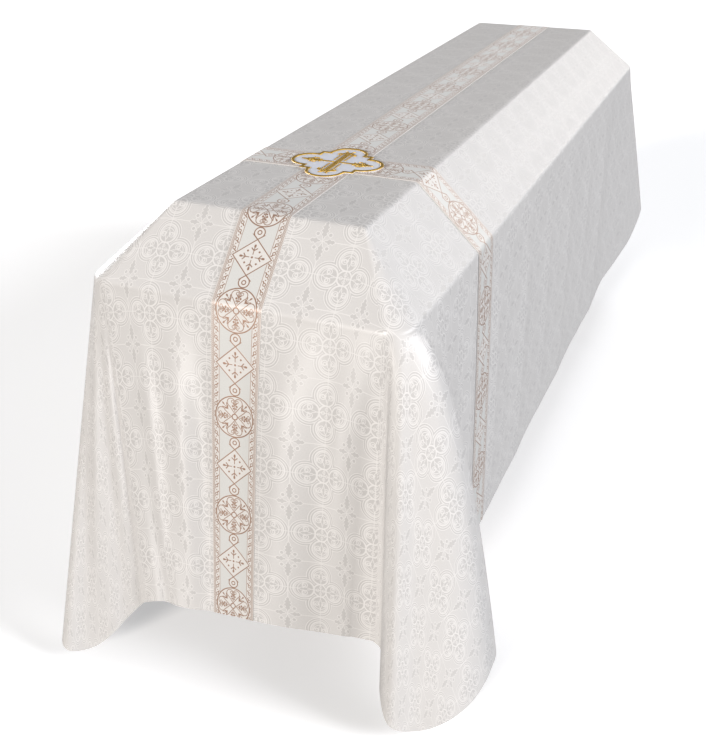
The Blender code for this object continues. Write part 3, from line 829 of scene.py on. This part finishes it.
def least_of(add, *values):
    """The lowest of some values: 1 where all masks are, or the distance to the nearest shape."""
    found = values[0]
    for value in values[1:]:
        found = add("Math.MINIMUM", found, value)
    return found


def disc(add, x, y, centre_x, centre_y, radius):
    """Distance in mm to the edge of a round spot."""
    place = add("CombineXYZ", x, y, 0.0)
    away = add("VectorMath.DISTANCE", place, (centre_x, centre_y, 0.0), output=1)
    return add("Math.SUBTRACT", away, radius)


def leaf(add, along, across, start, tip, half, teeth=0.0):
    """Distance in mm to a pointed leaf from start to tip, with a notched edge if it has teeth."""
    share = add("MapRange", along, start, tip, 0.0, 1.0)
    wave = add("Math.SINE", add("Math.MULTIPLY", share, math.pi))
    if teeth:
        notch = add("Math.SINE", add("Math.MULTIPLY", share, teeth * math.tau))
        wave = add("Math.MULTIPLY", wave, add("Math.MULTIPLY_ADD", notch, 0.22, 0.85))
    edge = add("Math.MULTIPLY", wave, half)
    return add("Math.SUBTRACT", add("Math.ABSOLUTE", across), edge)


def cloth_places(add):
    """Places on the flat cloth in mm: across and along, from the crossing."""
    place = add("UVMap", uv_map="fabric")
    scaled = add("VectorMath.SCALE", place, sockets={3: 1000.0})
    return scaled, add("SeparateXYZ", scaled, output=0), add("SeparateXYZ", scaled, output=1)


# Brocade repeat: clusters of circles, 120 mm apart across and 123 mm along
REPEAT_ACROSS = 120.0
REPEAT_ALONG = 123.0
FIRST_CLUSTER = -288.0


def brocade_figure(add, u, v):
    """Two masks: 1 on the matt outlines, and 1 on the glossy figures: ringed circle clusters, and leaf crosses."""
    cell_u = add("Math.PINGPONG", u, REPEAT_ACROSS / 2)
    shifted = add("Math.ADD", v, 20 * REPEAT_ALONG + REPEAT_ALONG / 2 - FIRST_CLUSTER)
    cell_v = add("Math.PINGPONG", shifted, REPEAT_ALONG / 2)
    near_u = add("Math.SUBTRACT", REPEAT_ACROSS / 2, cell_u)
    near_v = add("Math.SUBTRACT", REPEAT_ALONG / 2, cell_v)
    out = add("Math.MAXIMUM", near_u, near_v)
    aside = add("Math.MINIMUM", near_u, near_v)
    hub = disc(add, out, aside, 0.0, 0.0, 14.0)
    lobe = disc(add, out, aside, 32.0, 0.0, 18.5)
    whole = add("Math.MINIMUM", hub, lobe)
    # Scalloped lines round the cluster, 4.6 mm apart
    step = add("Math.PINGPONG", whole, 2.3)
    scallops = filled(add, add("Math.SUBTRACT", step, 0.95))
    belt = outlined(add, add("Math.SUBTRACT", whole, 5.0), 5.8)
    rims = any_of(add, outlined(add, lobe, 1.5), outlined(add, hub, 1.4))
    # Tulip in each lobe: a leaf, a curled petal beside it and a crescent on the outer side
    heart = leaf(add, out, aside, 19.0, 42.0, 4.2, teeth=3)
    petal = disc(add, out, aside, 30.0, 8.4, 4.8)
    petal_hole = disc(add, out, aside, 31.5, 7.8, 2.6)
    cupped = add("Math.MAXIMUM", petal, add("Math.MULTIPLY", petal_hole, -1.0))
    crescent = add(
        "Math.MAXIMUM",
        disc(add, out, aside, 32.0, 0.0, 15.4),
        add("Math.MULTIPLY", disc(add, out, aside, 28.0, 0.0, 14.6), -1.0),
    )
    veins = [outlined(add, shape, 0.8) for shape in (heart, cupped, crescent)]
    rosette = outlined(add, disc(add, out, aside, 7.0, 0.0, 3.0), 0.6)
    lines = any_of(add, least_of(add, scallops, belt), rims, rosette, *veins)
    # Leaf cross in the space between four clusters
    long_leaf = leaf(add, cell_v, cell_u, 3.0, 40.0, 7.5, teeth=5)
    side_leaf = leaf(add, cell_u, cell_v, 3.0, 26.0, 6.0, teeth=3)
    bud = disc(add, cell_u, cell_v, 12.0, 13.0, 4.0)
    leaves = least_of(add, long_leaf, side_leaf, bud)
    lines = any_of(add, lines, outlined(add, leaves, 0.8))
    gloss = any_of(add, filled(add, add("Math.ADD", whole, 1.2)), filled(add, leaves), belt)
    return lines, gloss


def brocade(colours):
    """Rayon brocade: shiny satin figures on a duller ground, with matt outlines.

    Figures and outlines swap light and dark as the light turns, and the ribs of the weave scatter it. Their colours
    also hold painted shade and light: the figures are coloured darker and the outlines lighter, as the satin's dark
    reflection on the lid's top shows them.
    """
    material, add = new_material("rayon_brocade")
    place, u, v = cloth_places(add)
    lines, gloss = brocade_figure(add, u, v)
    # Threads are 0.25 mm apart and can't show, so the ribs are drawn 1 mm apart
    rib = add("Math.SINE", add("Math.MULTIPLY", v, math.tau / 1.0))
    slub = add("TexNoise", place, sockets={"Scale": 0.35, "Detail": 3.0})
    cloud = add("TexNoise", place, sockets={"Scale": 0.006, "Detail": 2.0})
    tone = add("Math.MULTIPLY_ADD", slub, 0.14, 0.93)
    tone = add("Math.MULTIPLY", tone, add("Math.MULTIPLY_ADD", cloud, 0.06, 0.97))
    # Painted reflection: the glossy figures get a darker colour and the matt outlines a lighter one, as the satin's
    # dark reflection on the lid's top shows them; the figure's shapes are woven
    tones = {6: (*colours.ground, 1.0), 7: (*colours.satin_figure, 1.0)}
    under = add("Mix", sockets={0: gloss, **tones}, output=2, data_type="RGBA")
    base = add("Mix", sockets={0: lines, 6: under, 7: (*colours.outline, 1.0)}, output=2, data_type="RGBA")
    colour = add("VectorMath.SCALE", base, sockets={3: tone})
    rough = add("MapRange", gloss, 0.0, 1.0, 0.42, 0.30)
    floats = add("Tangent", direction_type="UV_MAP", uv_map="fabric")
    rough = add("Math.MULTIPLY_ADD", lines, 0.2, rough)
    height = add("Math.ADD", add("Math.MULTIPLY", lines, 0.10), add("Math.MULTIPLY", rib, 0.03))
    bump = add("Bump", sockets={"Strength": 0.5, "Distance": 0.001, "Height": height})
    shader = add(
        "BsdfPrincipled",
        sockets={
            "Base Color": colour,
            "Roughness": rough,
            "IOR": 1.5,
            "Specular IOR Level": 0.6,
            "Anisotropic": 0.75,
            "Anisotropic Rotation": 0.25,
            "Tangent": floats,
            "Normal": bump,
        },
    )
    add("OutputMaterial", shader)
    return material


def stroke(add, place, start, end, half):
    """Distance in mm to a rounded stroke between two points."""
    way = Vector((*end, 0.0)) - Vector((*start, 0.0))
    away = add("VectorMath.SUBTRACT", place, (*start, 0.0))
    share = add("VectorMath.DOT_PRODUCT", away, way / way.length_squared, output=1)
    nearest = add("VectorMath.SCALE", tuple(way), sockets={3: add("Clamp", share)})
    return add("Math.SUBTRACT", add("VectorMath.DISTANCE", away, nearest, output=1), half)


# Galloon repeat in mm: circles 200 apart with diamonds between them, and beads twelve to a repeat
GALLOON_REPEAT = 200.0
RING = 39.8
DIAMOND_ALONG = 34.8
DIAMOND_ACROSS = 38.5


def circle_figure(add, aside, ring):
    """Four heart palmettes round a small ring, with a three-pronged sprig between each two."""
    out, low = add("Math.MAXIMUM", aside, ring), add("Math.MINIMUM", aside, ring)
    place = add("CombineXYZ", out, low, 0.0)
    lobe = disc(add, out, low, 27.6, 7.6, 8.0)
    edge = add("Math.MULTIPLY_ADD", low, 0.77, add("Math.MULTIPLY_ADD", out, -0.638, 4.4))
    wedge = add("Math.MAXIMUM", edge, add("Math.SUBTRACT", out, 22.6))
    heart = outlined(add, least_of(add, lobe, wedge), 0.75)
    curl = outlined(add, disc(add, out, low, 29.6, 4.6, 2.5), 0.6)
    lobes = [disc(add, out, low, *spot) for spot in ((16.0, 2.6, 1.7), (20.6, 4.0, 2.1), (25.4, 2.6, 1.7))]
    stem = stroke(add, place, (11.0, 0.0), (31.0, 0.0), 0.8)
    acanthus = filled(add, least_of(add, stem, *lobes))
    long = add("Math.MULTIPLY", add("Math.ADD", out, low), math.sqrt(0.5))
    off = add("Math.MULTIPLY", add("Math.SUBTRACT", out, low), math.sqrt(0.5))
    turned = add("CombineXYZ", long, off, 0.0)
    prongs = [
        stroke(add, turned, start, end, half)
        for start, end, half in (
            ((19.0, 0.0), (33.0, 0.0), 0.55),
            ((32.5, 0.0), (35.0, 0.0), 1.5),
            ((22.5, 0.5), (30.0, 6.0), 0.9),
            ((21.0, 0.5), (24.5, 4.2), 0.8),
        )
    ]
    sprig = filled(add, least_of(add, *prongs))
    hub = outlined(add, disc(add, aside, ring, 0.0, 0.0, 5.4), 1.1)
    inside = filled(add, disc(add, aside, ring, 0.0, 0.0, RING))
    return least_of(add, any_of(add, heart, curl, acanthus, sprig, hub), inside)


def diamond_figure(add, aside, gem):
    """Four fleur sprigs on the diamond's axes, and five dots."""
    out, low = add("Math.MAXIMUM", aside, gem), add("Math.MINIMUM", aside, gem)
    place = add("CombineXYZ", out, low, 0.0)
    marks = [
        stroke(add, place, (6.0, 0.0), (20.0, 0.0), 0.8),
        stroke(add, place, (13.0, 0.0), (17.5, 5.5), 1.0),
        stroke(add, place, (20.5, 0.0), (23.0, 0.0), 2.0),
        disc(add, aside, gem, 11.5, 11.5, 1.9),
        disc(add, aside, gem, 0.0, 0.0, 2.1),
    ]
    return filled(add, least_of(add, *marks))


def galloon_figure(add, x, y):
    """Two masks: 1 where the copper figure lies, and 1 on the plain silvery ground between its shapes."""
    aside = add("Math.ABSOLUTE", x)
    gem = add("Math.PINGPONG", y, GALLOON_REPEAT / 2)
    ring = add("Math.SUBTRACT", GALLOON_REPEAT / 2, gem)
    rim = disc(add, aside, ring, 0.0, 0.0, RING)
    facet = add("Math.MULTIPLY_ADD", aside, 1 / DIAMOND_ACROSS, -1.0)
    facet = add("Math.MULTIPLY_ADD", gem, 1 / DIAMOND_ALONG, facet)
    facet = add("Math.MULTIPLY", facet, 25.8)
    # Drops that link circle and diamond
    drop = disc(add, aside, ring, 0.0, 51.9, 10.2)
    tip = GALLOON_REPEAT / 2 - DIAMOND_ALONG
    point = add("Math.MULTIPLY_ADD", aside, 0.64, add("Math.MULTIPLY_ADD", ring, 0.768, -0.768 * tip))
    point = add("Math.MAXIMUM", point, add("Math.SUBTRACT", 56.5, ring))
    link = least_of(add, drop, point)
    bead = outlined(add, disc(add, aside, ring, 0.0, 51.5, 3.8), 1.0)
    shapes = least_of(add, rim, facet, link)
    outlines = any_of(add, outlined(add, rim, 1.15), outlined(add, facet, 0.95), outlined(add, link, 1.05), bead)
    # Side borders: a thin line, beads with tails and dots by turns, and a rope edge
    pitch = GALLOON_REPEAT / 12
    along = add("Math.WRAP", add("Math.SUBTRACT", gem, 13.0), pitch / 2, -pitch / 2)
    place = add("CombineXYZ", aside, along, 0.0)
    pearl = outlined(add, disc(add, aside, along, 39.4, 0.0, 2.7), 0.75)
    tail = filled(add, stroke(add, place, (38.0, -2.8), (35.2, -6.0), 1.1))
    leaf_back = filled(add, stroke(add, place, (41.6, 3.4), (42.4, 6.2), 0.6))
    speck = filled(add, disc(add, aside, add("Math.ABSOLUTE", along), 39.2, pitch / 2, 1.2))
    thin = any_of(add, *[outlined(add, add("Math.SUBTRACT", aside, at), 0.5) for at in (32.6, 44.4)])
    outside = filled(add, add("Math.SUBTRACT", 1.4, shapes))
    borders = least_of(add, any_of(add, pearl, tail, leaf_back, speck, thin), outside)
    twist = filled(add, add("Math.SINE", add("Math.MULTIPLY", add("Math.ADD", y, aside), math.tau / 3.6)), 0.7)
    rope = add(
        "Math.MULTIPLY",
        outlined(add, add("Math.SUBTRACT", aside, 47.2), 1.7),
        add("Math.MULTIPLY_ADD", twist, 0.45, 0.2),
    )
    circle, diamond = circle_figure(add, aside, ring), diamond_figure(add, aside, gem)
    figure = any_of(add, outlines, circle, diamond, borders, rope)
    plain = least_of(add, outside, filled(add, add("Math.SUBTRACT", aside, 31.5)))
    return figure, plain


def galloon(colours):
    """Jacquard galloon: ivory satin with a figure in copper lurex, which glints where the light meets it."""
    material, add = new_material("jacquard_galloon")
    place, x, y = cloth_places(add)
    figure, plain = galloon_figure(add, x, y)
    # Threads are 0.3 mm apart and can't show, so the ribs are drawn 1.2 mm apart
    rib = add("Math.SINE", add("Math.MULTIPLY", y, math.tau / 1.2))
    slub = add("TexNoise", place, sockets={"Scale": 0.4, "Detail": 2.0})
    tone = add("Math.MULTIPLY_ADD", slub, 0.12, 0.94)
    tones = {6: (*colours.galloon, 1.0), 7: (*colours.silvery, 1.0)}
    under = add("Mix", sockets={0: plain, **tones}, output=2, data_type="RGBA")
    base = add("Mix", sockets={0: figure, 6: under, 7: (*colours.copper, 1.0)}, output=2, data_type="RGBA")
    colour = add("VectorMath.SCALE", base, sockets={3: tone})
    metal = add("Math.MULTIPLY", figure, 0.3)
    rough = add("MapRange", figure, 0.0, 1.0, 0.40, 0.42)
    height = add("Math.ADD", add("Math.MULTIPLY", figure, 0.15), add("Math.MULTIPLY", rib, 0.04))
    bump = add("Bump", sockets={"Strength": 0.5, "Distance": 0.001, "Height": height})
    shader = add(
        "BsdfPrincipled",
        sockets={
            "Base Color": colour,
            "Metallic": metal,
            "Roughness": rough,
            "Specular IOR Level": 0.7,
            "Sheen Weight": 0.15,
            "Normal": bump,
        },
    )
    add("OutputMaterial", shader)
    return material


def medallion_satin(colours):
    """Duchesse satin: white, smooth and glossy along its fine warp."""
    material, add = new_material("duchesse_satin")
    place, x, _ = cloth_places(add)
    # Threads are 0.1 mm apart and can't show, so the ribs are drawn 0.8 mm apart
    rib = add("Math.SINE", add("Math.MULTIPLY", x, math.tau / 0.8))
    slub = add("TexNoise", place, sockets={"Scale": 0.3, "Detail": 2.0})
    colour = add("VectorMath.SCALE", (*colours.satin,), sockets={3: add("Math.MULTIPLY_ADD", slub, 0.08, 0.96)})
    bump = add("Bump", sockets={"Strength": 0.3, "Distance": 0.001, "Height": add("Math.MULTIPLY", rib, 0.03)})
    shader = add(
        "BsdfPrincipled",
        sockets={"Base Color": colour, "Roughness": 0.45, "Specular IOR Level": 0.35, "Normal": bump},
    )
    add("OutputMaterial", shader)
    return material


def gold_thread(colours):
    """Metallised polyester embroidery thread: bright gold, ribbed by its satin stitches."""
    material, add = new_material("gold_embroidery_thread")
    place = add("TexCoord", output=2)
    # Stitches are 0.4 mm apart and are drawn 1.2 mm apart, so that they show
    along = add("Math.MULTIPLY", add("SeparateXYZ", place, output=0), 1000.0 * math.tau / 1.2)
    stitch = add("Math.SINE", along)
    speckle = add("TexNoise", place, sockets={"Scale": 900.0, "Detail": 2.0})
    colour = add("VectorMath.SCALE", (*colours.gold,), sockets={3: add("Math.MULTIPLY_ADD", speckle, 0.5, 0.75)})
    bump = add("Bump", sockets={"Strength": 0.6, "Distance": 0.001, "Height": add("Math.MULTIPLY", stitch, 0.12)})
    shader = add(
        "BsdfPrincipled",
        sockets={"Base Color": colour, "Metallic": 0.75, "Roughness": 0.34, "Normal": bump},
    )
    add("OutputMaterial", shader)
    return material


def wood(name, pale, dark, length_axis, rough):
    """Planed and waxed wood: long grain with darker late-wood lines and fine pores."""
    material, add = new_material(name)
    place = add("TexCoord", output=3)
    stretch = [9.0, 9.0, 9.0]
    stretch[length_axis] = 0.6
    squeezed = add("Mapping", place, sockets={"Scale": stretch})
    warped = add("TexNoise", squeezed, sockets={"Scale": 1.2, "Detail": 3.0, "Distortion": 0.4})
    rings = add("Math.SINE", add("Math.MULTIPLY", warped, 60.0))
    pores = add("TexNoise", squeezed, sockets={"Scale": 60.0, "Detail": 2.0})
    share = add("Math.MULTIPLY_ADD", rings, 0.28, add("Math.MULTIPLY", pores, 0.7))
    tones = {6: (*linear(pale), 1.0), 7: (*linear(dark), 1.0)}
    colour = add("Mix", sockets={0: share, **tones}, output=2, data_type="RGBA")
    roughness = add("MapRange", pores, 0.3, 0.7, rough - 0.06, rough + 0.08)
    bump = add("Bump", sockets={"Strength": 0.25, "Distance": 0.001, "Height": add("Math.MULTIPLY", pores, 0.2)})
    shader = add("BsdfPrincipled", sockets={"Base Color": colour, "Roughness": roughness, "Normal": bump})
    add("OutputMaterial", shader)
    return material


def light_table():
    """Matt white acrylic floor, faintly lit from below as a light table is."""
    material, add = new_material("light_table_acrylic")
    place = add("TexCoord", output=3)
    mottle = add("TexNoise", place, sockets={"Scale": 0.5, "Detail": 2.0})
    colour = add("VectorMath.SCALE", linear("F6F5F4"), sockets={3: add("Math.MULTIPLY_ADD", mottle, 0.02, 0.99)})
    matt = {"Base Color": colour, "Roughness": 0.9, "Specular IOR Level": 0.2}
    glow = {"Emission Color": (1.0, 1.0, 1.0, 1.0), "Emission Strength": 0.35}
    shader = add("BsdfPrincipled", sockets={**matt, **glow})
    add("OutputMaterial", shader)
    return material


class DRAPE_OT_cloth(bpy.types.Operator):
    """Lays the brocade over the coffin, with its folds and its ears at the corners"""

    bl_idname = "drape.cloth"
    bl_label = "Brocade drape"

    def execute(self, context):
        sizes, colours = context.scene.drape_sizes, context.scene.drape_colours
        piece = drape_sheet(sizes.flutes, brocade(colours), sizes.cloth)
        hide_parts("drape")
        return {"FINISHED"}


class DRAPE_OT_galloon(bpy.types.Operator):
    """Sews the long galloon and the two halves of the crosswise one on the brocade"""

    bl_idname = "drape.galloon"
    bl_label = "Galloon bands"

    def execute(self, context):
        sizes, colours = context.scene.drape_sizes, context.scene.drape_colours
        settings = (sizes.flutes, sizes.cloth + GAP, galloon(colours), sizes.galloon)
        bands = (
            (long_band(*settings), "band_long", 3.58),
            (cross_band("galloon_right", 1, *settings), "band_cross_right", 1.02),
            (cross_band("galloon_left", 3, *settings), "band_cross_left", 1.02),
        )
        for piece, solid, length in bands:
            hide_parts(solid)
        return {"FINISHED"}


class DRAPE_OT_medallion(bpy.types.Operator):
    """Makes the medallion on the crossing: satin ground, padded edge and embroidered cross"""

    bl_idname = "drape.medallion"
    bl_label = "Medallion"

    def execute(self, context):
        sizes, colours = context.scene.drape_sizes, context.scene.drape_colours
        low = sizes.cloth + GAP + sizes.galloon + GAP
        ground = medallion_ground(low, medallion_satin(colours))
        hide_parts("medallion_ground")
        gold = gold_thread(colours)
        above = low + MEDALLION_GROUND + GAP
        border = medallion_border(above, sizes.border, gold)
        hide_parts("medallion_border")
        cross = medallion_cross(above, CROSS_HEIGHT, gold)
        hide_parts("medallion_cross")
        return {"FINISHED"}


class DRAPE_OT_woodwork(bpy.types.Operator):
    """Gives the coffin and the bier under the drape their wood"""

    bl_idname = "drape.woodwork"
    bl_label = "Coffin and bier finish"

    def execute(self, context):
        oak = wood("waxed_oak", "A97B4E", "6E4627", 1, 0.45)
        upright, across, along = (
            wood("planed_beech_" + part, "CDA67B", "A97F55", axis, 0.5)
            for part, axis in (("leg", 2), ("end_rail", 0), ("side_rail", 1))
        )
        finishes = {
            "coffin_lid": oak,
            "coffin_body": oak,
            "bier_rail_near": across,
            "bier_rail_far": across,
            "bier_rail_left": along,
            "bier_rail_right": along,
        }
        for name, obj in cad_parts.items():
            finish = finishes.get(name, upright if name.startswith("bier_leg") else None)
            if finish:
                for slot in obj.material_slots:
                    slot.material = finish
        return {"FINISHED"}


# Camera of the photograph: its place from the coffin's middle, and its right, down and forward directions
CAMERA_PLACE = (0.8082, -2.5022, 1.5348)
CAMERA_RIGHT = (0.9221, 0.3868, -0.0049)
CAMERA_DOWN = (0.1831, -0.4476, -0.8753)
CAMERA_FORWARD = (-0.3408, 0.8062, -0.4836)
CAMERA_LENS = 48.61
FLOOR_HALF = 30.0
LAMP_DISTANCE = 6.0

# Distant soft boxes, as rows of name, azimuth, elevation, strength, breadth and colour. azimuth: 0 from the near
# end, 90 from the right. breadth: how wide each looks. Angles are in degrees.
LAMPS = (
    ("key", 92, 23, 3.1, 24, "F7F9FE"),
    ("front", -12, 16, 3.0, 14, "FFFAF5"),
    ("back", 163, 12, 0.5, 24, "FFFAF4"),
    ("fill", 243, 8, 2.0, 16, "F6F9FF"),
)


class DRAPE_OT_stage(bpy.types.Operator):
    """Sets the floor, the soft studio light and the camera"""

    bl_idname = "drape.stage"
    bl_label = "Stage"

    def execute(self, context):
        scene = context.scene
        bm = bmesh.new()
        bmesh.ops.create_grid(bm, x_segments=1, y_segments=1, size=FLOOR_HALF)
        floor = new_object("floor", bm, light_table())
        # The floor gives back no light, so the drape's sides keep the shade that the photograph shows
        floor.visible_diffuse = False
        floor.visible_glossy = False

        world = bpy.data.worlds.new("studio")
        world.use_nodes = True
        background = world.node_tree.nodes["Background"]
        background.inputs["Color"].default_value = (*linear("F2F6FC"), 1.0)
        background.inputs["Strength"].default_value = 0.20
        scene.world = world

        for name, azimuth, elevation, strength, breadth, colour in LAMPS:
            around, up = math.radians(azimuth), math.radians(elevation)
            way = Vector((math.sin(around) * math.cos(up), -math.cos(around) * math.cos(up), math.sin(up)))
            data = bpy.data.lights.new(name, "SUN")
            data.angle = math.radians(breadth)
            data.energy = strength
            data.color = linear(colour)
            light = bpy.data.objects.new(name, data)
            light.location = MIDDLE + way * LAMP_DISTANCE
            light.rotation_euler = way.to_track_quat("Z", "Y").to_euler()
            scene.collection.objects.link(light)

        data = bpy.data.cameras.new("camera")
        data.sensor_fit = "AUTO"
        data.sensor_width = 36.0
        data.lens = CAMERA_LENS
        data.clip_end = 100.0
        camera = bpy.data.objects.new("camera", data)
        turned = Matrix((CAMERA_RIGHT, [-part for part in CAMERA_DOWN], [-part for part in CAMERA_FORWARD]))
        camera.matrix_world = Matrix.Translation(MIDDLE + Vector(CAMERA_PLACE)) @ turned.transposed().to_4x4()
        scene.collection.objects.link(camera)
        scene.camera = camera
        scene.view_settings.view_transform = "Standard"
        return {"FINISHED"}


STEPS = (DRAPE_OT_stage, DRAPE_OT_cloth, DRAPE_OT_galloon, DRAPE_OT_medallion, DRAPE_OT_woodwork)


class DRAPE_PT_panel(bpy.types.Panel):
    """Lists the drape's pieces, sizes and colours"""

    bl_label = "Coffin drape"
    bl_idname = "DRAPE_PT_panel"
    bl_space_type = "VIEW_3D"
    bl_region_type = "UI"
    bl_category = "Drape"

    def draw(self, context):
        for settings in (context.scene.drape_sizes, context.scene.drape_colours):
            for name in type(settings).__annotations__:
                self.layout.prop(settings, name)
        for step in STEPS:
            self.layout.operator(step.bl_idname)


CLASSES = (DrapeSizes, DrapeColours, *STEPS, DRAPE_PT_panel)


def register():
    for cls in CLASSES:
        bpy.utils.register_class(cls)
    bpy.types.Scene.drape_sizes = PointerProperty(type=DrapeSizes)
    bpy.types.Scene.drape_colours = PointerProperty(type=DrapeColours)


def unregister():
    del bpy.types.Scene.drape_colours
    del bpy.types.Scene.drape_sizes
    for cls in reversed(CLASSES):
        bpy.utils.unregister_class(cls)


def main():
    register()
    bpy.ops.drape.stage()
    bpy.ops.drape.cloth()
    bpy.ops.drape.galloon()
    bpy.ops.drape.medallion()
    bpy.ops.drape.woodwork()


if __name__ == "__main__":
    main()
